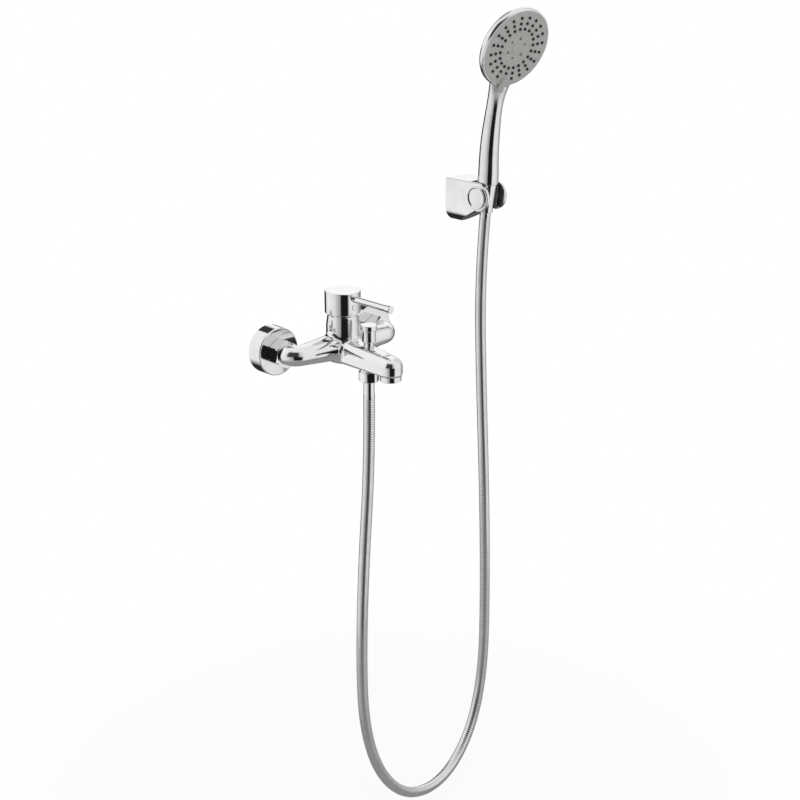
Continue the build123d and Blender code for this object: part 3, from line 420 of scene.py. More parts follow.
def rounded(centre: Pair, radius: float, start: float, end: float, steps: int) -> list[Pair]:
    """Draws an arc in a turned piece's profile.

    Args:
        centre: the arc's centre, as radius and height.
        radius: the arc's radius.
        start: first angle in degrees.
        end: last angle in degrees.
        steps: number of steps between them.

    Returns:
        The points, as radius and height.
    """
    points = []
    for step in range(steps + 1):
        angle = math.radians(start + (end - start) * step / steps)
        points.append((centre[0] + radius * math.cos(angle), centre[1] + radius * math.sin(angle)))
    return points


def turned(name: str, profile: Sequence[Pair], sides: int, place: Matrix,
           sharp_from: float = 35.0) -> bpy.types.Object:
    """Turns a profile into a closed solid of revolution.

    Args:
        name: name of the new piece.
        profile: points as radius and height, from the axis round to the axis.
        sides: number of faces round the axis.
        place: where the piece goes, its own Z axis being the axis of the turning.
        sharp_from: the angle in degrees from which an edge looks sharp.

    Returns:
        The new piece.
    """
    shape = bmesh.new()
    rings = []
    for radius, height in profile:
        if radius == 0.0:
            rings.append([shape.verts.new((0.0, 0.0, height))] * sides)
            continue
        angles = [2.0 * math.pi * side / sides for side in range(sides)]
        rings.append([shape.verts.new((radius * math.cos(a), radius * math.sin(a), height)) for a in angles])
    for low, high in zip(rings, rings[1:]):
        for side in range(sides):
            after = (side + 1) % sides
            corners = list(dict.fromkeys((low[side], low[after], high[after], high[side])))
            if len(corners) > 2:
                shape.faces.new(corners)
    bmesh.ops.recalc_face_normals(shape, faces=shape.faces)
    mesh = bpy.data.meshes.new(name)
    shape.to_mesh(mesh)
    shape.free()
    mesh.transform(place)
    smooth_by_angle(mesh, sharp_from)
    return link(bpy.data.objects.new(name, mesh))


def grow(name: str, tree: bpy.types.NodeTree, start: bpy.types.Mesh,
         inputs: dict[str, Any]) -> bpy.types.Object:
    """Runs a geometry tree and keeps its result as a plain mesh.

    Args:
        name: name of the new piece.
        tree: the geometry tree.
        start: mesh that the tree starts from.
        inputs: values of the tree's named inputs.

    Returns:
        The new piece, with no modifier left on it.
    """
    carrier = link(bpy.data.objects.new(name + "_carrier", start))
    modifier = carrier.modifiers.new("growth", "NODES")
    modifier.node_group = tree
    for item in tree.interface.items_tree:
        if item.item_type == "SOCKET" and item.in_out == "INPUT" and item.name in inputs:
            modifier[item.identifier] = inputs[item.name]
    mesh = evaluated_mesh(carrier)
    carrier.modifiers.remove(modifier)
    bpy.data.objects.remove(carrier)
    mesh.name = name
    return link(bpy.data.objects.new(name, mesh))


def new_geometry_tree(name: str, inputs: dict[str, Input]) -> tuple[Tree, bpy.types.bpy_prop_collection]:
    """Starts a geometry tree with named inputs.

    Args:
        name: name of the tree.
        inputs: the kind of each input, by its name.

    Returns:
        The tree and its inputs' sockets.
    """
    group = bpy.data.node_groups.new(name, "GeometryNodeTree")
    group.interface.new_socket("Geometry", in_out="INPUT", socket_type="NodeSocketGeometry")
    for label, kind in inputs.items():
        group.interface.new_socket(label, in_out="INPUT", socket_type=kind.value)
    group.interface.new_socket("Geometry", in_out="OUTPUT", socket_type="NodeSocketGeometry")
    tree = Tree(group)
    return tree, tree.node("NodeGroupInput").outputs


def end_geometry_tree(tree: Tree, geometry: Socket, material: Socket) -> bpy.types.NodeTree:
    """Realizes what a tree made, gives it its material and sends it out.

    Args:
        tree: the tree.
        geometry: what it made.
        material: the tree's material input.

    Returns:
        The finished geometry tree.
    """
    real = tree.node("GeometryNodeRealizeInstances", Geometry=geometry)
    dressed = tree.node("GeometryNodeSetMaterial", Geometry=real.outputs[0], Material=material)
    tree.node("NodeGroupOutput", Geometry=dressed.outputs[0])
    return tree.tree


@dataclass(frozen=True)
class Viewpoint:
    """The photograph's camera."""

    place: Point = (-1.1275, -1.3547, 0.5344)
    azimuth: float = -43.10
    elevation: float = 19.17
    lens: float = 67.5
    sensor: float = 36.0
    clip: Pair = (0.05, 50.0)

    def build(self) -> None:
        """Makes the camera and gives it to the scene."""
        data = bpy.data.cameras.new("photo_camera")
        data.lens = self.lens
        data.sensor_width = self.sensor
        data.clip_start, data.clip_end = self.clip
        camera = link(bpy.data.objects.new("photo_camera", data))
        turn, tilt = math.radians(self.azimuth), math.radians(self.elevation)
        aim(camera, self.place, Vector((
            -math.sin(turn) * math.cos(tilt), math.cos(turn) * math.cos(tilt), -math.sin(tilt))))
        bpy.context.scene.camera = camera


@dataclass(frozen=True)
class Lamp:
    """Soft square lamp that looks at the mixer, and that the chrome doesn't mirror."""

    name: str
    place: Point
    size: float
    power: float
    target: Point = (0.1, -0.08, 0.0)

    def build(self) -> None:
        """Hangs the lamp in the scene."""
        data = bpy.data.lights.new(self.name, "AREA")
        data.size = self.size
        data.energy = self.power
        lamp = link(bpy.data.objects.new(self.name, data))
        aim(lamp, self.place, Vector(self.target) - Vector(self.place))
        lamp.visible_glossy = False


@dataclass(frozen=True)
class Studio:
    """White studio with soft lamps, a pale floor and the bands of light and dark that shape chrome.

    The bands run once round the object, from 0 to 1. One lies low, one high, and one under both.
    They blend into each other, and the high one into the ceiling, where a direction's height is
    between two values.
    """

    level: float = 0.62
    mirrored_level: float = 1.15
    low: Stops = (
        (0.0, 0.03), (0.022, 0.03), (0.034, 0.80), (0.12, 0.93), (0.15, 0.86), (0.23, 0.80), (0.30, 0.50),
        (0.345, 0.33), (0.358, 0.010), (0.475, 0.010), (0.492, 0.42), (0.510, 0.84), (0.64, 0.84),
        (0.72, 0.48), (0.765, 0.38), (0.778, 0.13), (0.835, 0.15), (0.870, 0.03), (1.0, 0.03))
    high: Stops = (
        (0.0, 0.94), (0.12, 0.95), (0.22, 0.84), (0.262, 0.06), (0.420, 0.03), (0.462, 0.62), (0.52, 0.84),
        (0.66, 0.88), (0.74, 0.60), (0.80, 0.96), (0.900, 0.98), (0.914, 0.04), (0.984, 0.04),
        (0.994, 0.92), (1.0, 0.94))
    shade: Stops = (
        (0.0, 0.02), (0.06, 0.02), (0.10, 0.38), (0.23, 0.46), (0.33, 0.44), (0.40, 0.40), (0.47, 0.46),
        (0.56, 0.56), (0.66, 0.48), (0.72, 0.24), (0.77, 0.03), (1.0, 0.02))
    ceiling: Colour = (0.86, 0.86, 0.86, 1.0)
    shade_to_low: Pair = (-0.70, -0.48)
    low_to_high: Pair = (-0.02, 0.10)
    high_to_ceiling: Pair = (0.72, 0.94)
    floor_height: float = -0.690
    floor_radius: float = 0.80
    floor_centre: Pair = (0.10, -0.07)
    floor_sides: int = 96
    floor_colour: Colour = (0.80, 0.80, 0.80, 1.0)
    floor_fade: Pair = (0.35, 0.98)
    floor_glow: float = 0.88
    floor_glow_at_edge: float = 0.12
    floor_mirrored: float = 0.34
    lamps: tuple[Lamp, ...] = (
        Lamp("key_lamp", (-1.3, -1.9, 1.7), size=1.3, power=26.0),
        Lamp("fill_lamp", (1.7, -1.6, 0.6), size=1.5, power=9.0),
        Lamp("top_lamp", (0.2, -0.5, 2.0), size=1.4, power=10.0))

    def build(self) -> None:
        """Makes the world, the floor and the lamps."""
        bpy.context.scene.view_settings.view_transform = "Standard"
        self.world()
        self.floor()
        for lamp in self.lamps:
            lamp.build()

    def bands(self, tree: Tree) -> Socket:
        """Draws what the chrome mirrors in each direction.

        Args:
            tree: the world's tree.

        Returns:
            The colour socket.
        """
        way = tree.node("ShaderNodeSeparateXYZ", Vector=tree.node("ShaderNodeTexCoord").outputs["Generated"])
        azimuth = tree.math("ARCTAN2", way.outputs["X"], tree.math("MULTIPLY", way.outputs["Y"], -1.0))
        share = tree.math("MULTIPLY_ADD", azimuth, 0.5 / math.pi, 0.5)
        low, high, shade = (tree.ramp(share, stops) for stops in (self.low, self.high, self.shade))
        height = way.outputs["Z"]
        rooms = tree.mixed(tree.step(height, self.low_to_high), low, high)
        rooms = tree.mixed(tree.step(height, self.shade_to_low), shade, rooms)
        return tree.mixed(tree.step(height, self.high_to_ceiling), rooms, self.ceiling)

    def world(self) -> None:
        """Makes the world: white where the camera looks, bands of light and dark in the chrome."""
        world = bpy.data.worlds.new("studio")
        world.use_nodes = True
        bpy.context.scene.world = world
        tree = Tree(world.node_tree)
        world.node_tree.nodes.clear()
        path = tree.node("ShaderNodeLightPath").outputs
        mirror = tree.math("MAXIMUM", path["Is Glossy Ray"], path["Is Transmission Ray"])
        soft, shown, white = (
            tree.node("ShaderNodeBackground", Color=colour, Strength=strength).outputs[0]
            for colour, strength in (
                (WHITE, self.level), (self.bands(tree), self.mirrored_level), (WHITE, 1.0)))
        inside = tree.mixed_shaders(mirror, soft, shown)
        tree.node("ShaderNodeOutputWorld", Surface=tree.mixed_shaders(path["Is Camera Ray"], inside, white))

    def floor(self) -> None:
        """Makes a round pale floor that fades into the white background."""
        bpy.ops.mesh.primitive_circle_add(vertices=self.floor_sides, radius=self.floor_radius,
                                          fill_type="NGON", location=(*self.floor_centre, self.floor_height))
        floor = bpy.context.object
        floor.name = "studio_floor"
        material = bpy.data.materials.new("pale_floor")
        material.use_nodes = True
        material.node_tree.nodes.clear()
        tree = Tree(material.node_tree)
        reach = tree.node("ShaderNodeVectorMath", {"operation": "LENGTH"})
        tree.feed(reach.inputs[0], tree.node("ShaderNodeTexCoord").outputs["Object"])
        inner, outer = (share * self.floor_radius for share in self.floor_fade)
        edge = tree.step(reach.outputs["Value"], (inner, outer))
        path = tree.node("ShaderNodeLightPath").outputs
        share = tree.math("MULTIPLY_ADD", edge, self.floor_glow_at_edge, self.floor_glow)
        matt = tree.node("ShaderNodeBsdfDiffuse", Color=self.floor_colour).outputs[0]
        glow, dim = (tree.node("ShaderNodeEmission", Color=WHITE, Strength=strength).outputs[0]
                     for strength in (1.0, self.floor_mirrored))
        seen = tree.mixed_shaders(tree.math("MULTIPLY", path["Is Camera Ray"], share), matt, glow)
        whole = tree.mixed_shaders(path["Is Glossy Ray"], seen, dim)
        tree.node("ShaderNodeOutputMaterial", Surface=whole)
        floor.data.materials.append(material)


@dataclass(frozen=True)
class CradleFrame:
    """Leaning frame of the cradle and of the hand shower, in millimetres and degrees."""

    pivot: Point = CRADLE_PIVOT
    tilt: float = 5.0
    turn: float = -5.0
    face: Point = (0.0, -30.6, 190.4)
    face_lean: float = 16.0
    selector_turn: float = -10.0

    def cradle(self) -> Matrix:
        """Returns the cradle's place, in metres."""
        place = Matrix.Translation(Vector(self.pivot) / MM_PER_METRE)
        return place @ Matrix.Rotation(math.radians(self.tilt), 4, "X")

    def spray_face(self) -> Matrix:
        """Finds the turned spray face.

        Returns:
            Its place in metres, its own Z axis pointing out of the face.
        """
        hand = self.cradle() @ Matrix.Rotation(math.radians(self.turn), 4, "Z")
        front = hand @ Matrix.Translation(Vector(self.face) / MM_PER_METRE)
        front = front @ Matrix.Rotation(math.radians(90.0 + self.face_lean), 4, "X")
        return front @ Matrix.Rotation(math.radians(self.selector_turn), 4, "Z")


def ribbed_hose_tree(sharpness: float = 8.0) -> bpy.types.NodeTree:
    """Builds the tree that turns a path into a hose with narrow grooves between flat ribs.

    Args:
        sharpness: the power that narrows the grooves.

    Returns:
        The geometry tree.
    """
    tree, value = new_geometry_tree("ribbed_hose", {
        "Outer Radius": Input.NUMBER, "Groove Depth": Input.NUMBER, "Ribs": Input.COUNT,
        "Steps per Rib": Input.COUNT, "Sides": Input.COUNT, "Plain End": Input.NUMBER,
        "Finish": Input.MATERIAL})
    line = tree.node("GeometryNodeMeshToCurve", Mesh=value["Geometry"]).outputs[0]
    count = tree.math("ADD", tree.math("MULTIPLY", value["Ribs"], value["Steps per Rib"]), 1.0)
    path = tree.node("GeometryNodeResampleCurve", {"mode": "COUNT"}, Curve=line, Count=count)
    along = tree.node("GeometryNodeSplineParameter").outputs
    groove = tree.math("POWER", tree.zigzag(tree.math("MULTIPLY", along["Factor"], value["Ribs"])), sharpness)
    start = tree.math("GREATER_THAN", along["Length"], value["Plain End"])
    whole = tree.node("GeometryNodeCurveLength", Curve=line).outputs[0]
    end = tree.math("LESS_THAN", along["Length"], tree.math("SUBTRACT", whole, value["Plain End"]))
    groove = tree.math("MULTIPLY", groove, tree.math("MULTIPLY", start, end))
    cut = tree.math("DIVIDE", tree.math("MULTIPLY", groove, value["Groove Depth"]), value["Outer Radius"])
    ring = tree.node("GeometryNodeCurvePrimitiveCircle", Resolution=value["Sides"],
                     Radius=value["Outer Radius"])
    skin = tree.node("GeometryNodeCurveToMesh", Curve=path.outputs[0], Profile_Curve=ring.outputs[0],
                     Scale=tree.math("SUBTRACT", 1.0, cut), Fill_Caps=True)
    smooth = tree.node("GeometryNodeSetShadeSmooth", Geometry=skin.outputs[0])
    return end_geometry_tree(tree, smooth.outputs[0], value["Finish"])


@dataclass(frozen=True)
class ShowerHose:
    """Wound metal hose that hangs from the mixer and comes up to the cradle."""

    radius: float = 0.007
    groove: float = 0.0005
    pitch: float = 0.0031
    length: float = 1.5499
    steps_per_rib: int = 6
    sides: int = 20
    plain_end: float = 0.0035
    outlet: Point = (0.0, -0.096, -0.0460)
    last_bend: Point = (0.0, 0.0, -0.1146)
    upper_end: Point = (0.0, 0.0, -0.0226)
    slack_length: float = 0.092
    slack_gap: float = 0.0002
    slack_plain_end: float = 0.001
    curve_steps: int = 24
    swing_start: Point = (0.257, -0.045, -0.294)
    swing_end: Point = (0.4149, -0.045, -0.1361)
    route: tuple[Point, ...] = (
        (0.0, -0.096, -0.132),
        (-0.014, -0.099, -0.268),
        (-0.020, -0.100, -0.398),
        (-0.015, -0.099, -0.492),
        (0.013, -0.095, -0.574),
        (0.066, -0.085, -0.636),
        (0.130, -0.072, -0.664),
        (0.188, -0.061, -0.655),
        (0.234, -0.053, -0.609),
        (0.258, -0.048, -0.530),
        (0.261, -0.046, -0.418),
        (0.257, -0.045, -0.268),
        (0.247, -0.045, -0.112),
    )

    def ribs(self, length: float) -> int:
        """Returns the number of ribs on a length of hose."""
        return round(length / self.pitch)

    def line(self, name: str, points: Sequence[Sequence[float]]) -> bpy.types.Mesh:
        """Reads a smooth spline through control points as a chain of edges.

        Args:
            name: name of the chain.
            points: the spline's control points.

        Returns:
            A mesh of edges along the spline.
        """
        curve = bpy.data.curves.new(name, "CURVE")
        curve.dimensions = "3D"
        spline = curve.splines.new("NURBS")
        spline.points.add(len(points) - 1)
        for point, place in zip(spline.points, points):
            point.co = (*place, 1.0)
        spline.order_u = 3
        spline.use_endpoint_u = True
        curve.resolution_u = self.curve_steps
        holder = link(bpy.data.objects.new(name, curve))
        mesh = evaluated_mesh(holder)
        bpy.data.objects.remove(holder)
        return mesh

    def build(self, frame: CradleFrame) -> None:
        """Makes the hose and a slimmer stretch inside its last part, at the hand shower's end.

        Args:
            frame: the cradle's frame.
        """
        bend, top = (frame.cradle() @ Vector(point) for point in (self.last_bend, self.upper_end))
        chain = self.line("hose_line", [self.outlet, *self.route, tuple(bend), tuple(top)])
        path = [tuple(vertex.co) for vertex in chain.vertices]
        tree = ribbed_hose_tree()
        sizes = {"Outer Radius": self.radius, "Groove Depth": self.groove, "Ribs": self.ribs(self.length),
                 "Steps per Rib": self.steps_per_rib, "Sides": self.sides, "Plain End": self.plain_end,
                 "Finish": WOUND_STEEL.material()}
        run = grow("ribbed_hose_run", tree, chain, sizes)
        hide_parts("shower_hose")
        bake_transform(run)
        tail = [point for point in path if (Vector(point) - top).length < self.slack_length]
        slack_line = bpy.data.meshes.new("slack_line")
        slack_line.from_pydata(tail, [(step, step + 1) for step in range(len(tail) - 1)], [])
        slack = grow("hose_slack", tree, slack_line, {
            **sizes, "Outer Radius": self.radius - self.groove - self.slack_gap,
            "Plain End": self.slack_plain_end, "Ribs": self.ribs(self.slack_length)})
        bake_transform(slack)
        log.info("hose: %d ribs, %d faces", self.ribs(self.length), len(run.data.polygons))


def nozzle_tree(sides: int = 16, jet_depth: float = 0.7) -> bpy.types.NodeTree:
    """Builds the tree that sets three rings of soft nozzles on the spray plate.

    Args:
        sides: number of faces round a nozzle.
        jet_depth: depth of the jet's hole, as a share of the nozzle's height.

    Returns:
        The geometry tree.
    """
    tree, value = new_geometry_tree("nozzle_rings", {
        "Inner Ring": Input.NUMBER, "Middle Ring": Input.NUMBER, "Outer Ring": Input.NUMBER,
        "Count": Input.COUNT, "Foot Radius": Input.NUMBER, "Tip Radius": Input.NUMBER,
        "Height": Input.NUMBER, "Jet Radius": Input.NUMBER, "Finish": Input.MATERIAL})
    cone = tree.node("GeometryNodeMeshCone", {"fill_type": "NGON"}, Vertices=sides, Depth=value["Height"],
                     Radius_Top=value["Tip Radius"], Radius_Bottom=value["Foot Radius"])
    lip = tree.node("GeometryNodeExtrudeMesh", {"mode": "FACES"}, Mesh=cone.outputs["Mesh"],
                    Selection=cone.outputs["Top"], Offset_Scale=0.0)
    mouth = tree.node("GeometryNodeScaleElements", Geometry=lip.outputs["Mesh"], Selection=lip.outputs["Top"],
                      Scale=tree.math("DIVIDE", value["Jet Radius"], value["Tip Radius"]))
    jet = tree.node("GeometryNodeExtrudeMesh", {"mode": "FACES"}, Mesh=mouth.outputs[0],
                    Selection=lip.outputs["Top"],
                    Offset_Scale=tree.math("MULTIPLY", value["Height"], -jet_depth))
    inner, middle, outer = (
        tree.node("GeometryNodeMeshCircle", Vertices=value["Count"], Radius=value[label]).outputs[0]
        for label in ("Inner Ring", "Middle Ring", "Outer Ring"))
    under_tab = tree.math("LESS_THAN", tree.node("GeometryNodeInputIndex").outputs[0], 0.5)
    outer = tree.node("GeometryNodeDeleteGeometry", {"domain": "POINT"}, Geometry=outer,
                      Selection=under_tab).outputs[0]
    start = tree.node("GeometryNodeTransform", Geometry=tree.joined((outer, middle, inner)),
                      Rotation=(0.0, 0.0, -math.pi / 2))
    set_out = tree.node("GeometryNodeInstanceOnPoints", Points=start.outputs[0], Instance=jet.outputs["Mesh"])
    return end_geometry_tree(tree, set_out.outputs[0], value["Finish"])


@dataclass(frozen=True)
class HandShower:
    """Hand shower: plated shell, grey spray face and soft nozzles.

    The rings' radii are shares of the face's radius, the nozzle's tip is a share of its foot.
    """

    face_radius: float = 0.048
    inner_ring: float = 0.53
    middle_ring: float = 0.68
    outer_ring: float = 0.83
    nozzles_per_ring: int = 20
    nozzle_foot: float = 0.0019
    nozzle_tip: float = 0.82
    nozzle_height: float = 0.0014
    jet_radius: float = 0.00045
    plate_proud: float = 0.0005
    sharp_from: float = 40.0

    def build(self, frame: CradleFrame, nodes: Nodes) -> None:
        """Makes the nozzles and dresses the hand shower.

        Args:
            frame: the cradle's frame.
            nodes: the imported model's nodes.
        """
        nozzles = grow("soft_nozzles", nozzle_tree(), bpy.data.meshes.new("nozzle_start"), {
            "Inner Ring": self.inner_ring * self.face_radius,
            "Middle Ring": self.middle_ring * self.face_radius,
            "Outer Ring": self.outer_ring * self.face_radius,
            "Count": self.nozzles_per_ring, "Foot Radius": self.nozzle_foot,
            "Tip Radius": self.nozzle_tip * self.nozzle_foot, "Height": self.nozzle_height,
            "Jet Radius": self.jet_radius, "Finish": SOFT_NOZZLE.material()})
        nozzles.data.transform(frame.spray_face() @ Matrix.Translation((0.0, 0.0, self.plate_proud)))
        smooth_by_angle(nozzles.data, self.sharp_from)
        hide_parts("spray_nozzles")
        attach(nozzles, Body.SPRAY_FACE.value)
        SHOWER_HEAD.build(nodes)
        log.info("hand shower: %d nozzle faces", len(nozzles.data.polygons))


def thread_tree(crest_gain: float = 1.35, crest_shift: float = -0.175, whole_turns: float = 100.0,
                last_row_depth: float = 0.000001, weld: float = 0.000002) -> bpy.types.NodeTree:
    """Builds the tree that cuts a screw thread into a tube.

    Args:
        crest_gain: how steeply the flanks rise between flat root and flat crest.
        crest_shift: how far the rise is shifted towards the root.
        whole_turns: turns that are added so that the phase is never below 0.
        last_row_depth: how near the tube's end a row counts as its last.
        weld: distance below which points are merged.

    Returns:
        The geometry tree.
    """
    tree, value = new_geometry_tree("pipe_thread", {
        "Outer Radius": Input.NUMBER, "Root Radius": Input.NUMBER, "Pitch": Input.NUMBER,
        "Length": Input.NUMBER, "Run Out": Input.NUMBER, "Wall": Input.NUMBER, "Rows": Input.COUNT,
        "Sides": Input.COUNT, "Finish": Input.MATERIAL})
    blank = tree.node("GeometryNodeMeshCylinder", {"fill_type": "NONE"}, Vertices=value["Sides"],
                      Side_Segments=value["Rows"], Radius=1.0, Depth=value["Length"])
    position = tree.node("GeometryNodeInputPosition").outputs[0]
    place = tree.node("ShaderNodeSeparateXYZ", Vector=position).outputs
    turn = tree.math("DIVIDE", tree.math("ARCTAN2", place["Y"], place["X"]), 2.0 * math.pi)
    rise = tree.math("DIVIDE", place["Z"], value["Pitch"])
    swing = tree.zigzag(tree.math("ADD", tree.math("SUBTRACT", rise, turn), whole_turns))
    crest = tree.math("MULTIPLY_ADD", swing, crest_gain, crest_shift, clamp=True)
    depth = tree.math("SUBTRACT", value["Outer Radius"], value["Root Radius"])
    half = tree.math("MULTIPLY", value["Length"], 0.5)
    to_end = tree.math("SUBTRACT", half, tree.math("ABSOLUTE", place["Z"]))
    fade = tree.math("DIVIDE", to_end, value["Run Out"], clamp=True)
    radius = tree.math("ADD", value["Root Radius"],
                       tree.math("MULTIPLY", tree.math("MULTIPLY", crest, fade), depth))
    inside = tree.math("SUBTRACT", value["Root Radius"], value["Wall"])
    last_row = tree.math("LESS_THAN", to_end, last_row_depth)
    radius = tree.math("MULTIPLY_ADD", tree.math("SUBTRACT", inside, radius), last_row, radius)
    shaped = tree.node("ShaderNodeCombineXYZ", X=tree.math("MULTIPLY", place["X"], radius),
                       Y=tree.math("MULTIPLY", place["Y"], radius), Z=place["Z"])
    outer = tree.node("GeometryNodeSetPosition", Geometry=blank.outputs["Mesh"], Position=shaped.outputs[0])
    lining = tree.node("GeometryNodeMeshCylinder", {"fill_type": "NONE"}, Vertices=value["Sides"],
                       Side_Segments=1, Radius=inside, Depth=value["Length"])
    inner = tree.node("GeometryNodeFlipFaces", Mesh=lining.outputs["Mesh"])
    cut = tree.node("GeometryNodeMergeByDistance", Distance=weld,
                    Geometry=tree.joined((inner.outputs[0], outer.outputs[0])))
    smooth = tree.node("GeometryNodeSetShadeSmooth", Geometry=cut.outputs[0])
    return end_geometry_tree(tree, smooth.outputs[0], value["Finish"])


@dataclass(frozen=True)
class WallInlets:
    """Two eccentric unions with their half inch pipe threads."""

    half_spacing: float = 0.075
    major: float = 0.0104775
    root: float = 0.0093155
    pitch: float = 0.001814
    tail: float = 0.016
    run_out: float = 0.0012
    wall: float = 0.0004
    rows: int = 90
    sides: int = 72
    tail_from: float = -0.0001

    def threaded_union(self, side: str, union: bpy.types.Object, tree: bpy.types.NodeTree) -> None:
        """Replaces a union by a copy whose tail has its real thread.

        Args:
            side: left or right.
            union: the union's node.
            tree: the thread's geometry tree.
        """
        x = self.half_spacing * (1 if side == "right" else -1)
        core = link(bpy.data.objects.new(side + "_union_core", union.data.copy()))
        for vertex in core.data.vertices:
            across = Vector((vertex.co.x - x, 0.0, vertex.co.z))
            if vertex.co.y > self.tail_from and across.length > self.root:
                across *= self.root / across.length
                vertex.co.x, vertex.co.z = x + across.x, across.z
        core.data.update()
        thread = grow(side + "_union_thread", tree, bpy.data.meshes.new("thread_start"), {
            "Outer Radius": self.major, "Root Radius": self.root, "Pitch": self.pitch, "Length": self.tail,
            "Run Out": self.run_out, "Wall": self.wall, "Rows": self.rows, "Sides": self.sides,
            "Finish": TURNED_BRASS.material()})
        thread.data.transform(
            Matrix.Translation((x, self.tail / 2, 0.0)) @ Matrix.Rotation(-math.pi / 2, 4, "X"))
        for piece in (core, thread):
            TURNED_BRASS.put_on(piece)
            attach(piece, Body.WALL.value)
        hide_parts(side + "_s_union")
        log.info("%s union: thread of %d faces", side, len(thread.data.polygons))

    def build(self, nodes: Nodes) -> None:
        """Makes the threads and dresses the inlets.

        Args:
            nodes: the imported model's nodes.
        """
        tree = thread_tree()
        for side in ("left", "right"):
            self.threaded_union(side, nodes[side + "_s_union"], tree)
        INLETS.build(nodes)


@dataclass(frozen=True)
class Dressing:
    """Nodes whose solids are right as they come, and only need their finishes."""

    title: str
    finishes: dict[str, Finish]

    def build(self, nodes: Nodes) -> None:
        """Puts each finish on its node.

        Args:
            nodes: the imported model's nodes.
        """
        for name, finish in self.finishes.items():
            finish.put_on(nodes[name])
        log.info("%s: %s", self.title, ", ".join(self.finishes))


@dataclass(frozen=True)
class WallHolder:
    """Wall holder with dished covers over the pivots, in millimetres and degrees."""

    pivot: Point = CRADLE_PIVOT
    half_width: float = 18.5
    cover_sides: int = 64
    cover_radius: float = 14.8
    cover_height: float = 2.6
    edge: float = 0.9
    lip: float = 0.3
    lip_out: float = 0.2
    dish_radius: float = 13.3
    dish_floor: float = 1.2
    dish_slope: float = 0.9
    toe: float = 0.5
    toe_in: float = 0.3
    crown: float = 0.4
    crown_points: tuple[float, ...] = (0.75, 0.5, 0.25)
    pin_seat: Pair = (5.0, 1.0)

    def cover_profile(self) -> list[Pair]:
        """Draws a cover: rounded rim, steep dish and crowned middle.

        Returns:
            Points as radius and height, from the axis round to the axis.
        """
        edge_centre = (self.cover_radius - self.edge, self.cover_height - self.edge)
        lip_centre = (self.dish_radius + self.lip_out, self.cover_height - self.lip)
        toe = self.dish_radius - self.dish_slope * (self.cover_height - self.dish_floor) - self.toe_in
        points = [(0.0, self.pin_seat[1]), self.pin_seat, (self.pin_seat[0], 0.0), (self.cover_radius, 0.0)]
        points += rounded(edge_centre, self.edge, start=0.0, end=90.0, steps=6)
        points += rounded(lip_centre, self.lip, start=90.0, end=140.0, steps=3)
        points += rounded((toe, self.dish_floor + self.toe), self.toe, start=-40.0, end=-90.0, steps=4)
        for share in self.crown_points:
            points.append((share * toe, self.dish_floor + self.crown * (1.0 - share ** 2)))
        points.append((0.0, self.dish_floor + self.crown))
        return points

    def build(self, nodes: Nodes) -> None:
        """Makes the covers and dresses the holder.

        Args:
            nodes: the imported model's nodes.
        """
        profile = [(radius / MM_PER_METRE, height / MM_PER_METRE) for radius, height in self.cover_profile()]
        for side, way in (("left", -1), ("right", 1)):
            foot = Vector(self.pivot) / MM_PER_METRE
            foot += Vector((way * self.half_width / MM_PER_METRE, 0.0, 0.0))
            place = Matrix.Translation(foot) @ Matrix.Rotation(way * math.pi / 2, 4, "Y")
            cover = turned(side + "_dished_cover", profile, self.cover_sides, place)
            PLATED_PLASTIC.put_on(cover)
            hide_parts(f"holder_{side}_cover")
            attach(cover, Body.WALL.value)
            log.info("%s cover: %d faces", side, len(cover.data.polygons))
        HOLDER.build(nodes)


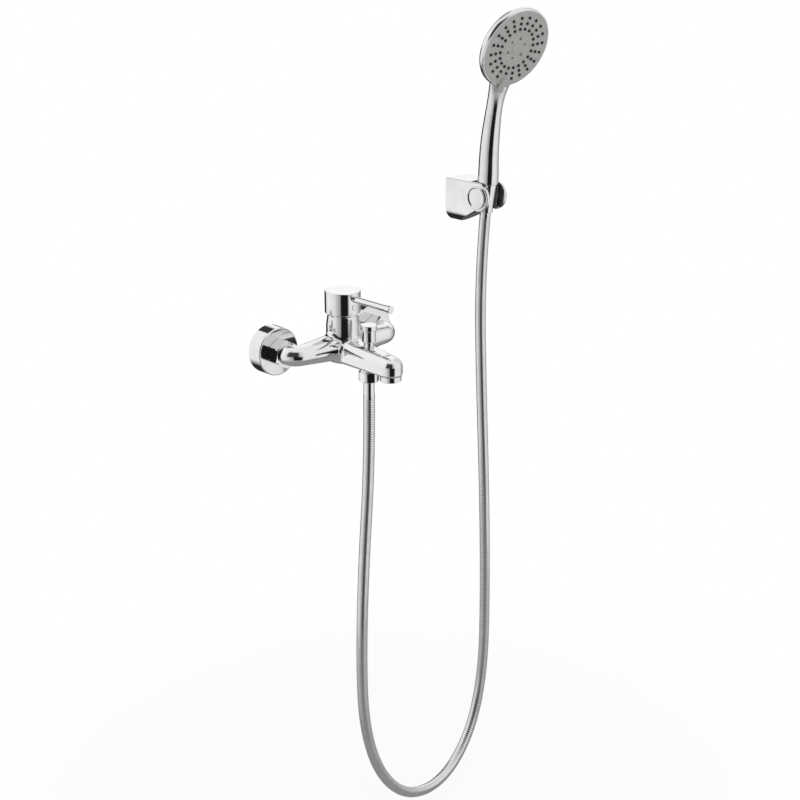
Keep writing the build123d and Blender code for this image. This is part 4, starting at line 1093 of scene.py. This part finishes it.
INLETS = Dressing("inlets", {
    "left_escutcheon": SPUN_CHROME, "left_union_nut": CHROME, "left_inlet_nipple": TURNED_BRASS,
    "right_escutcheon": SPUN_CHROME, "right_union_nut": CHROME, "right_inlet_nipple": TURNED_BRASS,
    "inlet_washers": BLACK_RUBBER})
SHOWER_HEAD = Dressing("hand shower", {
    "handset_body": PLATED_PLASTIC, "head_rim": PLATED_PLASTIC, "spray_plate": SATIN_GREY,
    "spray_centre": SATIN_GREY, "selector_tab": SATIN_GREY, "cone_nut": CHROME,
    "handset_inlet": TURNED_BRASS, "water_distributor": WHITE_RESIN, "face_screw": DRAWN_STEEL})
HOLDER = Dressing("wall holder", {
    "holder_base": PLATED_PLASTIC, "holder_set_screw": DRAWN_STEEL, "holder_wall_plate": DARK_RESIN,
    "holder_cradle": DARK_RESIN, "cradle_pins": DARK_RESIN})
MIXER = Dressing("mixer body and cartridge", {
    "mixer_body": CHROME, "dome_ring": CHROME, "cartridge_nut": TURNED_BRASS, "cartridge_base": WHITE_RESIN,
    "cartridge_housing": WHITE_RESIN, "cartridge_seals": BLACK_RUBBER, "fixed_disc": LAPPED_CERAMIC,
    "moving_disc": LAPPED_CERAMIC, "disc_carrier": WHITE_RESIN, "stem_guide": WHITE_RESIN,
    "spindle_axle": DRAWN_STEEL, "lever_spindle": DRAWN_STEEL})
LEVER = Dressing("lever", {
    "lever_cap": CHROME, "lever_pin": CHROME, "lever_pin_tip": CHROME, "lever_grub_screw": DRAWN_STEEL,
    "index_plug": PLATED_PLASTIC})
DIVERTER = Dressing("diverter", {
    "diverter_knob": CHROME, "diverter_bonnet": CHROME, "diverter_rod": TURNED_BRASS,
    "diverter_plug": BLACK_RUBBER, "shower_outlet": CHROME})
AERATOR = Dressing("aerator", {
    "aerator_housing": CHROME, "aerator_insert": WHITE_RESIN, "aerator_washer": BLACK_RUBBER})
HOSE_ENDS = Dressing("hose ends", {
    "hose_nut": CHROME, "hose_lower_ferrule": CHROME, "hose_lower_washer": BLACK_RUBBER,
    "hose_upper_ferrule": CHROME, "hose_upper_washer": BLACK_RUBBER})


def main() -> None:
    """Builds the scene in order."""
    logging.basicConfig(level=logging.INFO, format="%(name)s %(message)s")
    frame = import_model()
    Viewpoint().build()
    cradle_frame = CradleFrame()
    ShowerHose().build(cradle_frame)
    Studio().build()
    nodes = frame["nodes"]
    WallInlets().build(nodes)
    HandShower().build(cradle_frame, nodes)
    WallHolder().build(nodes)
    for group in (MIXER, LEVER, DIVERTER, AERATOR, HOSE_ENDS):
        group.build(nodes)


if __name__ == "__main__":
    main()
